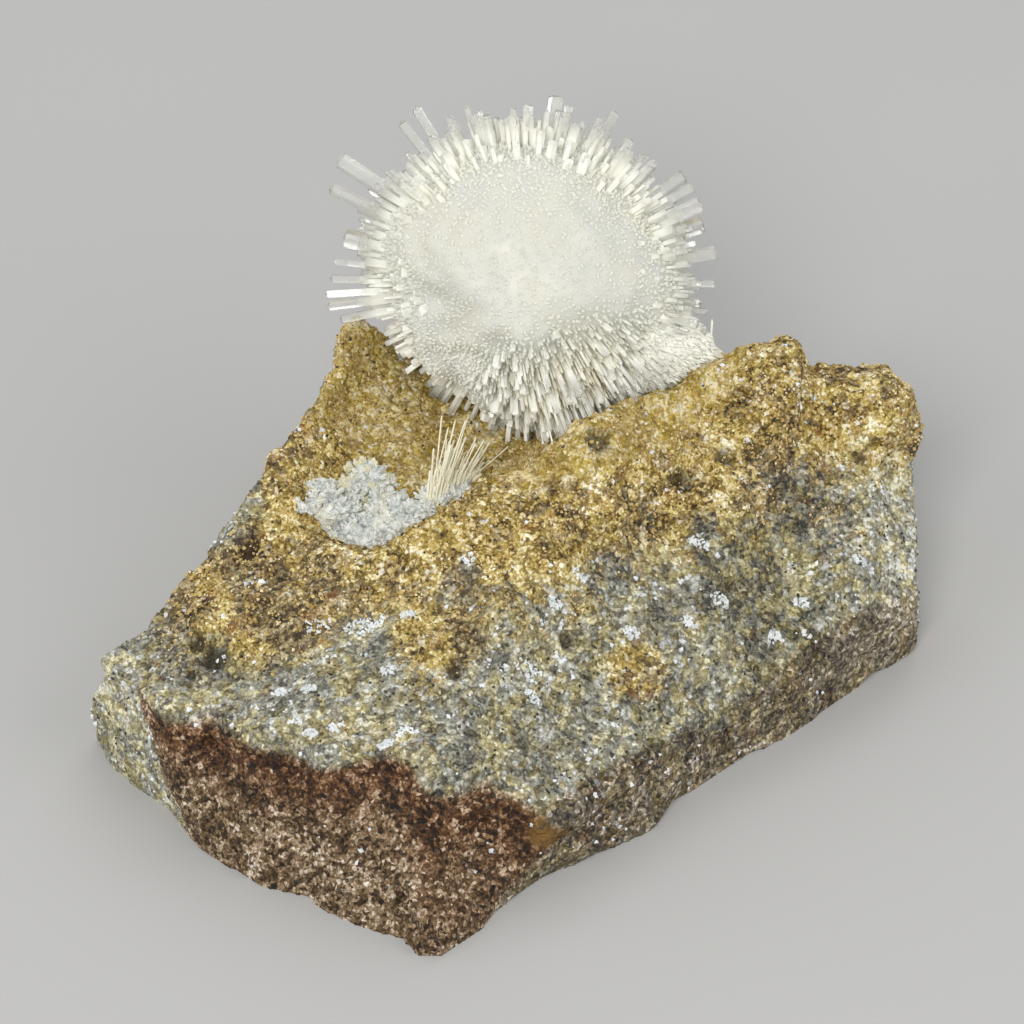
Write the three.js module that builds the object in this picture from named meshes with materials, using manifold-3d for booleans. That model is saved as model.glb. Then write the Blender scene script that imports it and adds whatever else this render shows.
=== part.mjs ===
// A natrolite specimen: a ball of radiating glassy crystals sitting in the vug of a chunk of basalt,
// with a small druse and a spray of fine needles beside it on the vug's floor.
// Millimetres, +Z up. The chunk lies on a flat break, and its broad face looks to the front, along -Y.
import * as THREE from 'three';
import { mergeVertices } from 'three/addons/utils/BufferGeometryUtils.js';
import Module from 'manifold-3d';

const wasm = await Module();
wasm.setup();

const vec = (x, y, z) => new THREE.Vector3(x, y, z);

// Driving dimensions of the basalt chunk, measured from its front bottom corner
const ROCK = {
  cell: 1.4, // grid step of the chunk's mesh
  low: vec(-19, -6, -3.4),
  high: vec(27, 41, 18),
  rounding: 0.3, // how far a broken edge is rounded
  lumpFoot: 1.6, // how softly a lump runs into the stone round it
  bedding: 0.34, // thickness left between the chunk and what grows on it
  flatWithin: 0.1, // points this near to the flat break underneath lie exactly on it
};

// The chunk's breaks: each is a plane through a point, with the direction that it faces
const BREAKS = {
  broadFace: { faces: vec(0.542, -0.59, 1), through: vec(6, 21.3, 13.1) },
  leftShoulder: { faces: vec(-0.251, -0.235, 1), through: vec(-3, 16.4, 9.0) },
  backShoulder: { faces: vec(0.1, 0.72, 0.68), through: vec(16, 27.9, 11.2) },
  backLeftShoulder: { faces: vec(-0.1, 0.34, 1), through: vec(-3.7, 30.5, 11.6) },
  lowerBevel: { faces: vec(0.685, -0.728, -0.02), through: vec(7.9, 6.9, 0) },
  frontLeft: { faces: vec(-0.52, -0.77, 0.37), through: vec(0.4, -0.1, 0) },
  leftEnd: { faces: vec(-0.8, -0.58, 0.02), through: vec(-12.2, 10.6, 0) },
  back: { faces: vec(-0.08, 1, 0.2), through: vec(3, 36.2, 0) },
  backRight: { faces: vec(0.55, 0.8, 0.16), through: vec(18.4, 33.6, 0) },
  rightFace: { faces: vec(0.641, -0.406, 0.651), through: vec(21.8, 18.2, 2.0) },
  rightEnd: { faces: vec(1, 0.06, 0.05), through: vec(22.3, 24, 4) },
};

// Hollows broken out of the chunk, and lumps left standing on it
const CHIPS = [
  { name: 'scoop', at: vec(-6, -7.6, 11), radius: 14.4 },
  { name: 'right scoop', at: vec(5.4, -3.0, 8.3), radius: 9.3 },
  { name: 'right notch', at: vec(23.7, 24.6, 7.2), radius: 3.0 },
  { name: 'crest notch', at: vec(18.3, 28.8, 12.1), radius: 2.2 },
  { name: 'back chip', at: vec(9.5, 45.5, 7.5), radius: 12.4 },
];
const LUMPS = [
  { name: 'crest knob', at: vec(15.4, 26.4, 10.6), radius: 1.8 },
  { name: 'corner knob', at: vec(20.0, 27.2, 8.4), radius: 2.0 },
  { name: 'rim knob', at: vec(6.6, 20.6, 11.9), radius: 1.5 },
];
// The chunk's hollow left side is a leaning arc round this upright line
const LEFT_SWEEP = { x: -34.1, y: 35.7, footRadius: 28.1, flare: 0.24 };
const VUG = { from: vec(-1.8, 20.8, 12.3), fromRadius: 4.9, to: vec(3.8, 28.6, 17.6), toRadius: 10.6 };
const SWELLS = { count: 18, longest: 11, shortest: 2.3, height: 0.012 }; // the chunk's uneven surface

// Driving dimensions of the crystals
const BALL = {
  centre: vec(4.6, 28.7, 15.2),
  core: 6.5, // radius within which the crystals are grown solidly together
  coreShift: 0.45, // the solid heart sits this far up and to the right of the crystals' own centre
  root: 4.2, // distance from the centre at which a crystal's modelled prism starts
  prisms: 142,
  reach: [7.25, 8.3],
  width: [0.6, 1.0],
  taper: 0.84,
  tip: 0.24, // height of the blunt pyramid that ends a prism
};
const LOBE = {
  centre: vec(10.5, 28.4, 12.6),
  core: 2.6,
  root: 1.6,
  prisms: 26,
  reach: [3.1, 4.1],
  width: [0.5, 0.75],
};
const VIEW_TILT = THREE.MathUtils.degToRad(38); // the ball is read from this far above the horizon

// The long glassy prisms that stand out round the ball's outline:
// degrees round the ball, how far the tip stands from its centre, and the prism's width
const LONG_PRISMS = [
  [146.5, 10.2, 0.95], [154.5, 9.9, 0.66], [127.5, 9.4, 0.6], [122, 9.4, 0.58],
  [115, 8.3, 0.44], [108.5, 8.6, 0.4], [105, 8.1, 0.34], [89.5, 8.1, 0.4],
  [80.5, 8.8, 0.78], [76, 8.3, 0.5], [65, 8.3, 0.42], [62, 9.0, 0.5],
  [53.5, 8.1, 0.6], [43, 8.1, 0.56], [34, 8.9, 0.8], [29.5, 8.8, 0.66],
  [24, 8.8, 0.8], [18.5, 8.7, 0.84], [9, 8.8, 0.76], [-0.5, 8.7, 0.46],
  [-9, 8.5, 0.42], [166, 8.5, 0.95], [174, 8.8, 0.42], [178.5, 9.0, 0.48],
  [183.5, 9.1, 0.52], [187, 9.1, 0.48], [191, 8.7, 0.56],
];

// Driving dimensions of the druse and its spray of needles
const DRUSE = {
  middle: vec(-2.3, 20.5, 0),
  halfLength: 3.3,
  halfWidth: 2.3,
  crumbs: 17,
  crumb: [0.85, 1.35],
  sunk: 0.15, // how far a crumb's centre lies above the floor
};
const SPRAY = {
  root: vec(0.3, 20.9, 8.5),
  needles: 11,
  length: [3.8, 6.2],
  width: 0.34,
  tip: 0.5,
  degrees: [80, 46], // the fan's first and last needle, as seen from the front
  lean: [0.15, 0.6],
  rootWidth: 1.2,
  clearOfBall: 7.6, // no needle's tip comes nearer than this to the ball's centre
};

// Repeatable random numbers from 0 to 1
function seeded(seed) {
  let state = seed;
  return () => {
    state = (state * 1664525 + 1013904223) % 4294967296;
    return state / 4294967296;
  };
}

const between = (range, share) => range[0] + (range[1] - range[0]) * share;

// The larger of two distances, with a fillet of about k where they meet
function filletMax(a, b, k) {
  const h = Math.max(k - Math.abs(a - b), 0) / k;
  return Math.max(a, b) + (h * h * k) / 4;
}

// Directions spread evenly over a sphere
function spiralDirection(index, count) {
  const z = 1 - (2 * index + 1) / count;
  const turn = index * Math.PI * (3 - Math.sqrt(5));
  const r = Math.sqrt(1 - z * z);
  return vec(r * Math.cos(turn), r * Math.sin(turn), z);
}

const swells = Array.from({ length: SWELLS.count }, (_, i) => {
  const wave = SWELLS.longest * (SWELLS.shortest / SWELLS.longest) ** (i / (SWELLS.count - 1));
  return {
    along: spiralDirection((i * 7) % SWELLS.count, SWELLS.count).multiplyScalar((2 * Math.PI) / wave),
    phase: i * 2.4,
    height: SWELLS.height * wave,
  };
});

// How far the chunk's surface stands out of its breaks at a point
const unevenness = (p) => swells.reduce((sum, s) => sum + s.height * Math.sin(s.along.dot(p) + s.phase), 0);

const breaks = Object.values(BREAKS).map(({ faces, through }) => {
  const normal = faces.clone().normalize();
  return { normal, offset: normal.dot(through) };
});

// Distance from the tapering vug's wall, negative inside the vug
function vugDistance(p) {
  const axis = VUG.to.clone().sub(VUG.from);
  const share = THREE.MathUtils.clamp(p.clone().sub(VUG.from).dot(axis) / axis.lengthSq(), 0, 1);
  const nearest = VUG.from.clone().addScaledVector(axis, share);
  return p.distanceTo(nearest) - between([VUG.fromRadius, VUG.toRadius], share);
}

// Signed distance from the chunk's surface, negative in the stone
function rockDistance(p) {
  const sides = breaks.map(({ normal, offset }) => normal.dot(p) - offset);
  let d = sides.reduce((most, side) => filletMax(most, side, ROCK.rounding));
  for (const { at, radius } of LUMPS) d = -filletMax(-d, radius - p.distanceTo(at), ROCK.lumpFoot);
  const fromSweepLine = Math.hypot(p.x - LEFT_SWEEP.x, p.y - LEFT_SWEEP.y);
  d = filletMax(d, LEFT_SWEEP.footRadius + LEFT_SWEEP.flare * p.z - fromSweepLine, ROCK.rounding);
  for (const { at, radius } of CHIPS) d = filletMax(d, radius - p.distanceTo(at), ROCK.rounding);
  d = filletMax(d, -vugDistance(p), ROCK.rounding * 1.5);
  return Math.max(d - unevenness(p), -p.z);
}

// The direction in which a distance grows, from samples a little to either side
function growth(distance, p) {
  const h = 0.02;
  const slope = (side) => distance(p.clone().add(side)) - distance(p.clone().sub(side));
  return vec(slope(vec(h, 0, 0)), slope(vec(0, h, 0)), slope(vec(0, 0, h))).normalize();
}

// The eight corners of a grid cell, its twelve edges as pairs of corners, and the edges round each face
const CORNERS = Array.from({ length: 8 }, (_, c) => [c & 1, (c >> 1) & 1, (c >> 2) & 1]);
const edgesAlong = (bit) => [...CORNERS.keys()].filter((a) => !(a & bit)).map((a) => [a, a | bit]);
const CELL_EDGES = [1, 2, 4].flatMap(edgesAlong);
const edgesWhere = (test) => [...CELL_EDGES.keys()].filter((e) => CELL_EDGES[e].every(test));
const CELL_FACES = [1, 2, 4].flatMap((bit) => [0, bit].map((side) => edgesWhere((c) => (c & bit) === side)));

// Which sheet of the surface crosses each edge of a cell, or -1 where none does
function sheetsThrough(inside) {
  const sheet = CELL_EDGES.map(([a, b], e) => (inside[a] === inside[b] ? -1 : e));
  const join = ([e, f]) => {
    const old = sheet[f];
    const kept = sheet[e];
    sheet.forEach((s, i) => {
      if (s === old) sheet[i] = kept;
    });
  };
  for (const face of CELL_FACES) {
    const cut = face.filter((e) => sheet[e] >= 0);
    if (cut.length === 2) join(cut);
    if (cut.length < 4) continue;
    for (let corner = 0; corner < 8; corner++) {
      const beside = cut.filter((e) => CELL_EDGES[e].includes(corner));
      if (inside[corner] && beside.length === 2) join(beside);
    }
  }
  return sheet;
}

// The point that lies best on all the planes given by points and normals, no further off than the cell
function commonPoint(planes, floor, ceiling) {
  const point = vec(0, 0, 0);
  for (const { foot } of planes) point.addScaledVector(foot, 1 / planes.length);
  for (let step = 0; step < 24; step++) {
    const move = vec(0, 0, 0);
    for (const { foot, normal } of planes) move.addScaledVector(normal, normal.dot(foot) - normal.dot(point));
    point.addScaledVector(move, 1 / planes.length).clamp(floor, ceiling);
  }
  return point;
}

// A closed mesh of the surface where distance(p) is level: each grid cell has one vertex for each sheet
// that crosses it, set where the sheet's tangent planes meet, and each cut grid edge has one quad
function surfaceMesh(distance, level, { low, high, cell }) {
  const n = [high.x - low.x, high.y - low.y, high.z - low.z].map((side) => Math.ceil(side / cell) + 1);
  const at = (i, j, k) => vec(low.x + i * cell, low.y + j * cell, low.z + k * cell);
  const key = (i, j, k) => (i * n[1] + j) * n[2] + k;
  const value = new Float64Array(n[0] * n[1] * n[2]);
  for (let i = 0; i < n[0]; i++)
    for (let j = 0; j < n[1]; j++)
      for (let k = 0; k < n[2]; k++) value[key(i, j, k)] = distance(at(i, j, k)) - level;

  const positions = [];
  const cellVertices = new Map();

  function tangentPlane(a, b, va, vb) {
    const foot = a.lerp(b, va / (va - vb));
    const normal = growth(distance, foot);
    foot.addScaledVector(normal, level - distance(foot));
    return { foot, normal };
  }

  function verticesOf(i, j, k) {
    const id = key(i, j, k);
    if (cellVertices.has(id)) return cellVertices.get(id);
    const cornerAt = CORNERS.map(([x, y, z]) => at(i + x, j + y, k + z));
    const values = CORNERS.map(([x, y, z]) => value[key(i + x, j + y, k + z)]);
    const sheet = sheetsThrough(values.map((v) => v < 0));
    const vertexOfSheet = new Map();
    for (const s of new Set(sheet.filter((one) => one >= 0))) {
      const planes = CELL_EDGES.filter((_, e) => sheet[e] === s)
        .map(([a, b]) => tangentPlane(cornerAt[a].clone(), cornerAt[b], values[a], values[b]));
      vertexOfSheet.set(s, positions.length / 3);
      const point = commonPoint(planes, cornerAt[0], cornerAt[7]);
      if (Math.abs(point.z + level) < ROCK.flatWithin) point.z = -level;
      positions.push(...point.toArray());
    }
    cellVertices.set(id, sheet.map((s) => vertexOfSheet.get(s)));
    return cellVertices.get(id);
  }

  const index = [];
  const ring = [[0, 0], [1, 0], [1, 1], [0, 1]];
  for (let i = 1; i < n[0] - 1; i++)
    for (let j = 1; j < n[1] - 1; j++)
      for (let k = 1; k < n[2] - 1; k++)
        for (let axis = 0; axis < 3; axis++) {
          const step = [0, 1, 2].map((one) => Number(one === axis));
          const inside = value[key(i, j, k)] < 0;
          if (inside === value[key(i + step[0], j + step[1], k + step[2])] < 0) continue;
          const quad = ring.map(([u, v]) => {
            const back = [0, 0, 0];
            back[(axis + 1) % 3] = u;
            back[(axis + 2) % 3] = v;
            const corner = back[0] + 2 * back[1] + 4 * back[2];
            const edge = CELL_EDGES.findIndex(([a, b]) => a === corner && b === corner + (1 << axis));
            return verticesOf(i - back[0], j - back[1], k - back[2])[edge];
          });
          if (!inside) quad.reverse();
          index.push(quad[0], quad[1], quad[2], quad[0], quad[2], quad[3]);
        }
  return solidOf(new Float32Array(positions), new Uint32Array(index));
}

function solidOf(vertProperties, triVerts) {
  return new wasm.Manifold(new wasm.Mesh({ numProp: 3, vertProperties, triVerts }));
}

function solidFromGeometry(source) {
  const bare = source.clone();
  bare.deleteAttribute('normal');
  bare.deleteAttribute('uv');
  const merged = mergeVertices(bare, 1e-4);
  return solidOf(new Float32Array(merged.attributes.position.array), new Uint32Array(merged.index.array));
}

function geometryOf(solid) {
  const mesh = solid.getMesh();
  const geometry = new THREE.BufferGeometry();
  geometry.setAttribute('position', new THREE.BufferAttribute(new Float32Array(mesh.vertProperties), 3));
  geometry.setIndex(new THREE.BufferAttribute(new Uint32Array(mesh.triVerts), 1));
  geometry.computeVertexNormals();
  return geometry;
}

// The largest of a solid's separate bodies: crumbs that a cut leaves loose are dropped
function mainBody(solid) {
  return solid.decompose().reduce((best, body) => (body.volume() > best.volume() ? body : best));
}

// A square crystal prism with a blunt pyramid, from one point towards another
function prism(root, direction, length, width, twist, tip = BALL.tip) {
  const half = width / Math.SQRT2;
  const profile = [
    new THREE.Vector2(0, 0),
    new THREE.Vector2(half * BALL.taper, 0),
    new THREE.Vector2(half, length - tip),
    new THREE.Vector2(0, length),
  ];
  const geometry = new THREE.LatheGeometry(profile, 4);
  geometry.rotateY(twist);
  geometry.applyQuaternion(new THREE.Quaternion().setFromUnitVectors(vec(0, 1, 0), direction));
  geometry.translate(root.x, root.y, root.z);
  return solidFromGeometry(geometry);
}

// A rough faceted lump, such as the solid heart of a crystal ball or a crumb of druse
function lump(centre, radius, detail, stretch = vec(1, 1, 1), turn = 0) {
  const geometry = new THREE.IcosahedronGeometry(radius, detail);
  geometry.rotateX(turn);
  geometry.rotateY(turn * 1.7);
  geometry.scale(stretch.x, stretch.y, stretch.z);
  geometry.translate(centre.x, centre.y, centre.z);
  return solidFromGeometry(geometry);
}

const RIGHT = vec(1, 0, 0);
const UP = vec(0, Math.sin(VIEW_TILT), Math.cos(VIEW_TILT));
const TOWARDS = vec(0, -Math.cos(VIEW_TILT), Math.sin(VIEW_TILT));

// A direction given by degrees round the ball's outline and by how much it leans to the front
function outlineDirection(degrees, lean) {
  const a = THREE.MathUtils.degToRad(degrees);
  const across = RIGHT.clone().multiplyScalar(Math.cos(a)).addScaledVector(UP, Math.sin(a));
  return across.addScaledVector(TOWARDS, lean).normalize();
}

// The ball's crystals are shorter at the lower left, where they meet the vug's wall
function fullness(direction) {
  const towardsWall = direction.dot(outlineDirection(224, 0.3));
  return 1 - 0.2 * THREE.MathUtils.smoothstep(towardsWall, 0.5, 0.95);
}

// Crystals radiating evenly from one point, apart from those that the stone leaves no room for
function radiatingPrisms(spec, random) {
  const prisms = [];
  for (let i = 0; i < spec.prisms; i++) {
    const direction = spiralDirection(i, spec.prisms);
    direction.add(vec(random() - 0.5, random() - 0.5, random() - 0.5).multiplyScalar(0.16)).normalize();
    const reach = between(spec.reach, random() ** 1.4) * fullness(direction);
    const width = between(spec.width, random());
    const root = spec.centre.clone().addScaledVector(direction, spec.root);
    const tip = spec.centre.clone().addScaledVector(direction, reach);
    if (rockDistance(tip) > ROCK.bedding) prisms.push(prism(root, direction, reach - spec.root, width, i));
  }
  return prisms;
}

function natroliteBall(stone) {
  const random = seeded(11);
  const longPrisms = LONG_PRISMS.map(([degrees, reach, width], i) => {
    const direction = outlineDirection(degrees, 0.16 * Math.sin(i * 2.1));
    const root = BALL.centre.clone().addScaledVector(direction, BALL.root);
    return prism(root, direction, reach - BALL.root, width, i);
  });
  const heart = BALL.centre.clone().addScaledVector(outlineDirection(45, 0), BALL.coreShift);
  const grown = wasm.Manifold.union([
    lump(heart, BALL.core, 2),
    lump(LOBE.centre, LOBE.core, 1),
    ...radiatingPrisms(BALL, random),
    ...radiatingPrisms(LOBE, random),
    ...longPrisms,
  ]);
  return mainBody(grown.subtract(stone));
}

// Height of the vug's floor in the nook where the druse grows
function nookFloor(x, y) {
  return VUG.from.z - Math.sqrt(VUG.fromRadius ** 2 - (x - VUG.from.x) ** 2 - (y - VUG.from.y) ** 2);
}

function vugDruse(stone) {
  const random = seeded(5);
  const crumbs = Array.from({ length: DRUSE.crumbs }, (_, i) => {
    const out = Math.sqrt((i + 0.5) / DRUSE.crumbs);
    const turn = i * 2.4;
    const x = DRUSE.middle.x + DRUSE.halfLength * out * Math.cos(turn);
    const y = DRUSE.middle.y + DRUSE.halfWidth * out * Math.sin(turn);
    const middle = vec(x, y, nookFloor(x, y) + DRUSE.sunk);
    return lump(middle, between(DRUSE.crumb, random()), 0, vec(1, 1, 0.8), i);
  });
  const needles = Array.from({ length: SPRAY.needles }, (_, i) => {
    const share = i / (SPRAY.needles - 1);
    const direction = outlineDirection(between(SPRAY.degrees, share), between(SPRAY.lean, random()));
    const root = SPRAY.root.clone().add(vec((share - 0.5) * SPRAY.rootWidth, 0, 0));
    let length = between(SPRAY.length, random());
    const tipAt = () => root.clone().addScaledVector(direction, length);
    while (tipAt().distanceTo(BALL.centre) < SPRAY.clearOfBall) length -= 0.1;
    return prism(root, direction, length, SPRAY.width, i, SPRAY.tip);
  });
  return mainBody(wasm.Manifold.union([...crumbs, ...needles]).subtract(stone));
}

function mineral(name, color, roughness) {
  return new THREE.MeshStandardMaterial({ name, color, roughness, metalness: 0 });
}

const basalt = mineral('basalt', 0x7a7058, 0.93);
const natrolite = mineral('natrolite', 0xecebe4, 0.22);
const milkyDruse = mineral('milky druse', 0xd5dade, 0.55);

function named(name, solid, material) {
  const mesh = new THREE.Mesh(geometryOf(solid), material);
  mesh.name = name;
  return mesh;
}

// What grows on the stone is cut by the stone's surface, stood off by the thin bedding left between them
const rock = surfaceMesh(rockDistance, 0, ROCK);
const bedding = surfaceMesh(rockDistance, ROCK.bedding, ROCK);

const specimen = new THREE.Group();
specimen.add(
  named('basalt_matrix', rock, basalt),
  named('natrolite_ball', natroliteBall(bedding), natrolite),
  named('vug_druse', vugDruse(bedding), milkyDruse),
);

// The origin is under the middle of the whole specimen, on the surface that it stands on
const whole = new THREE.Box3().setFromObject(specimen);
const middle = whole.getCenter(vec(0, 0, 0));
specimen.position.set(-middle.x, -middle.y, -whole.min.z);

export default specimen;
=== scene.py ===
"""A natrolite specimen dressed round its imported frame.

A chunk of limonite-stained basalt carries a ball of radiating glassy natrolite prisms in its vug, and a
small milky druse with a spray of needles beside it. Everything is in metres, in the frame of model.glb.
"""
from __future__ import annotations

import logging
import math
import random
from dataclasses import dataclass, field
from enum import Enum

import bpy
from mathutils import Vector, noise
from mathutils.bvhtree import BVHTree
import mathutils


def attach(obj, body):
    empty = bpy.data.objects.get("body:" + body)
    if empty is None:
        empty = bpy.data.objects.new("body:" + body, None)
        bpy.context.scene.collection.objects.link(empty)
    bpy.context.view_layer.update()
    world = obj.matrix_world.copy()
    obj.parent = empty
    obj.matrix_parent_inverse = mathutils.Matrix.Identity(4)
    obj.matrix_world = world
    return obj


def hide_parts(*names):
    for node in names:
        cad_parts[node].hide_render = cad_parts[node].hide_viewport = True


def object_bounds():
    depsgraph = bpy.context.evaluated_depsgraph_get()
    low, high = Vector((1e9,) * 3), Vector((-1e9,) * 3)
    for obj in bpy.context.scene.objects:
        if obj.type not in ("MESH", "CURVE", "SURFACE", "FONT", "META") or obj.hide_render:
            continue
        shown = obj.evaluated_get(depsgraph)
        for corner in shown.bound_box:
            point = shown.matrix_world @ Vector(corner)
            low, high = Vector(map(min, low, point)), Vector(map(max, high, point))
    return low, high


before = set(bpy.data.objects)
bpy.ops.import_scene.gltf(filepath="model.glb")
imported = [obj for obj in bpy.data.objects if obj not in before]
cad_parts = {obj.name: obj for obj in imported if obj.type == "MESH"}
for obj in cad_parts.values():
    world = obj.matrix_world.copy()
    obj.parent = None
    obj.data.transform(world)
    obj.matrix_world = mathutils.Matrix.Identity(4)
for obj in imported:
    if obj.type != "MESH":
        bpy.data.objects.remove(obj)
CAD_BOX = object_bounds()

log = logging.getLogger("natrolite")
MM = 0.001
BODY = "root"

# The specimen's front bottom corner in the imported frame, from which the stone's own places are measured
CORNER = Vector((-3.948, -18.349, 0.0))


def place(x: float, y: float, z: float) -> Vector:
    """Turns millimetres from the stone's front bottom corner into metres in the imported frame."""
    return (Vector((x, y, z)) + CORNER) * MM


BALL_CENTRE = place(4.6, 28.7, 15.2)
LOBE_CENTRE = place(10.5, 28.4, 12.6)
VUG_CENTRE = place(3.8, 28.6, 17.6)
NOOK_CENTRE = place(-1.8, 20.8, 12.3)
CEILING = CAD_BOX[1].z + 0.5 * MM

# Broken faces of the stone: a point on each, and the way it faces
BROAD_FACE = (place(6, 21.3, 13.1), Vector((0.542, -0.59, 1)).normalized())
LEFT_SHOULDER = (place(-3, 16.4, 9.0), Vector((-0.251, -0.235, 1)).normalized())
LOWER_BEVEL = (place(7.9, 6.9, 0), Vector((0.685, -0.728, -0.02)).normalized())
LEFT_EDGE = (place(-13.5, 15.8, 5), Vector((0.676, -0.737, 0)).normalized())
FRONT_LEFT = (place(0.4, -0.1, 0), Vector((-0.52, -0.77, 0.37)).normalized())

# The scoop is two dishes side by side: the middle and radius of each, in mm
SCOOPS = ((place(-6, -7.6, 11), 14.4), (place(5.4, -3.0, 8.3), 9.4))
SCOOP_CORNER = place(5.6, 4.9, 2.9)

# Stained patches below the general level of the stain: where each is and how far it reaches, in mm
STAIN_PATCHES = (
    (-6.3, 15.0, 7.8, 3.4), (-9.0, 16.0, 7.6, 2.6), (0.8, 11.6, 8.3, 2.0), (9.5, 12.6, 5.6, 1.4),
)

# Patches where the stone is darker, and patches where it is paler, in mm
DIM_PATCHES = ((16.1, 19.1, 6.3, 5.2), (-10.9, 14.0, 6.5, 3.8), (-6.8, 16.0, 8.0, 3.6))
PALE_PATCHES = (
    (20.0, 19.7, 4.7, 4.2), (21.8, 23.5, 4.0, 4.2), (21.0, 27.0, 9.0, 1.3), (-13.0, 13.5, 4.5, 3.4),
)

# Hollows in the stone, dug into its relief and darkened with painted shade: where each is and how wide, in
# mm from the stone's corner
HOLLOWS = (
    (-7.8, 18.1, 8.3, 0.6), (10.6, 18.9, 9.0, 0.75), (11.8, 20.9, 10.0, 0.7), (15.0, 23.1, 9.8, 0.7),
    (13.7, 22.6, 10.0, 0.55), (7.9, 20.0, 12.9, 0.8), (1.5, 9.7, 8.1, 0.55), (-9.2, 12.5, 6.6, 0.8),
    (-10.1, 13.4, 6.8, 0.6), (6.6, 12.5, 7.5, 0.5),
)

# Patches of tiny white zeolite crystals on the display face: plan place and radius in mm
ZEOLITE_PATCHES = (
    (-4.6, 13.1, 0.42), (-2.7, 12.7, 0.5), (-2.2, 12.9, 0.4), (-0.6, 12.9, 0.25), (-1.4, 9.9, 0.22),
    (4.7, 10.9, 0.4), (4.9, 9.8, 0.22), (-4.9, 9.6, 0.2), (-6.2, 9.8, 0.2), (-5.5, 8.0, 0.2),
    (-4.8, 7.2, 0.22), (-3.7, 7.4, 0.24), (-0.7, 6.8, 0.26), (-1.5, 6.3, 0.22), (7.0, 15.2, 0.25),
    (5.9, 13.7, 0.2), (11.9, 15.2, 0.25), (13.3, 16.7, 0.3), (15.8, 16.2, 0.25), (2.1, 15.1, 0.2),
    (17.0, 18.1, 0.25), (19.7, 20.6, 0.2), (12.4, 18.8, 0.3), (9.3, 13.9, 0.25),
)

# How far the view looks down, the direction to the viewer, and the way that is up in the picture
VIEW_ELEVATION = math.radians(38)
VIEWER = Vector((0, -math.cos(VIEW_ELEVATION), math.sin(VIEW_ELEVATION)))
VIEW_UP = Vector((0, math.sin(VIEW_ELEVATION), math.cos(VIEW_ELEVATION)))


def seen_from_front(degrees: float, lean: float) -> Vector:
    """Gives a direction by its degrees round the ball's outline, as the display side shows it.

    Args:
        degrees: anticlockwise from the right.
        lean: how much the direction leans towards the viewer.

    Returns:
        A unit vector.
    """
    turn = math.radians(degrees)
    return (Vector((math.cos(turn), 0, 0)) + math.sin(turn) * VIEW_UP + lean * VIEWER).normalized()


def astray(rng: random.Random, reach: float) -> Vector:
    """A vector at random, with each part within a reach of 0."""
    return Vector([rng.uniform(-reach, reach) for _ in range(3)])


def upward(rng: random.Random) -> Vector:
    """A direction at random in the upper half."""
    aim = Vector([rng.gauss(0, 1) for _ in range(3)]).normalized()
    aim.z = abs(aim.z)
    return aim


class Wire:
    """A node's output that takes part in arithmetic: each operator adds a Math node."""

    def __init__(self, sheet: NodeSheet, node: bpy.types.Node, out: str | None = None) -> None:
        """Keeps the node and the name of the output, or takes its first output in use."""
        self.sheet = sheet
        self.node = node
        self.out = out

    @property
    def socket(self) -> bpy.types.NodeSocket:
        """The output socket itself."""
        return next(s for s in self.node.outputs if s.enabled and self.out in (None, s.name))

    def output(self, name: str) -> Wire:
        """Another output of the same node."""
        return Wire(self.sheet, self.node, name)

    def math(self, operation: str, *operands: Wire | float) -> Wire:
        """Adds a Math node that works on these operands."""
        return self.sheet.add("ShaderNodeMath", {"operation": operation}, dict(enumerate(operands)))

    def __add__(self, other: Wire | float) -> Wire:
        """Adds."""
        return self.math("ADD", self, other)

    def __radd__(self, other: float) -> Wire:
        """Adds to a plain number."""
        return self.math("ADD", other, self)

    def __sub__(self, other: Wire | float) -> Wire:
        """Subtracts."""
        return self.math("SUBTRACT", self, other)

    def __rsub__(self, other: float) -> Wire:
        """Subtracts from a plain number."""
        return self.math("SUBTRACT", other, self)

    def __mul__(self, other: Wire | float) -> Wire:
        """Multiplies."""
        return self.math("MULTIPLY", self, other)

    def __rmul__(self, other: float) -> Wire:
        """Multiplies a plain number."""
        return self.math("MULTIPLY", other, self)

    def __truediv__(self, other: Wire | float) -> Wire:
        """Divides."""
        return self.math("DIVIDE", self, other)

    def larger(self, other: Wire | float) -> Wire:
        """The larger of two values."""
        return self.math("MAXIMUM", self, other)


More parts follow.
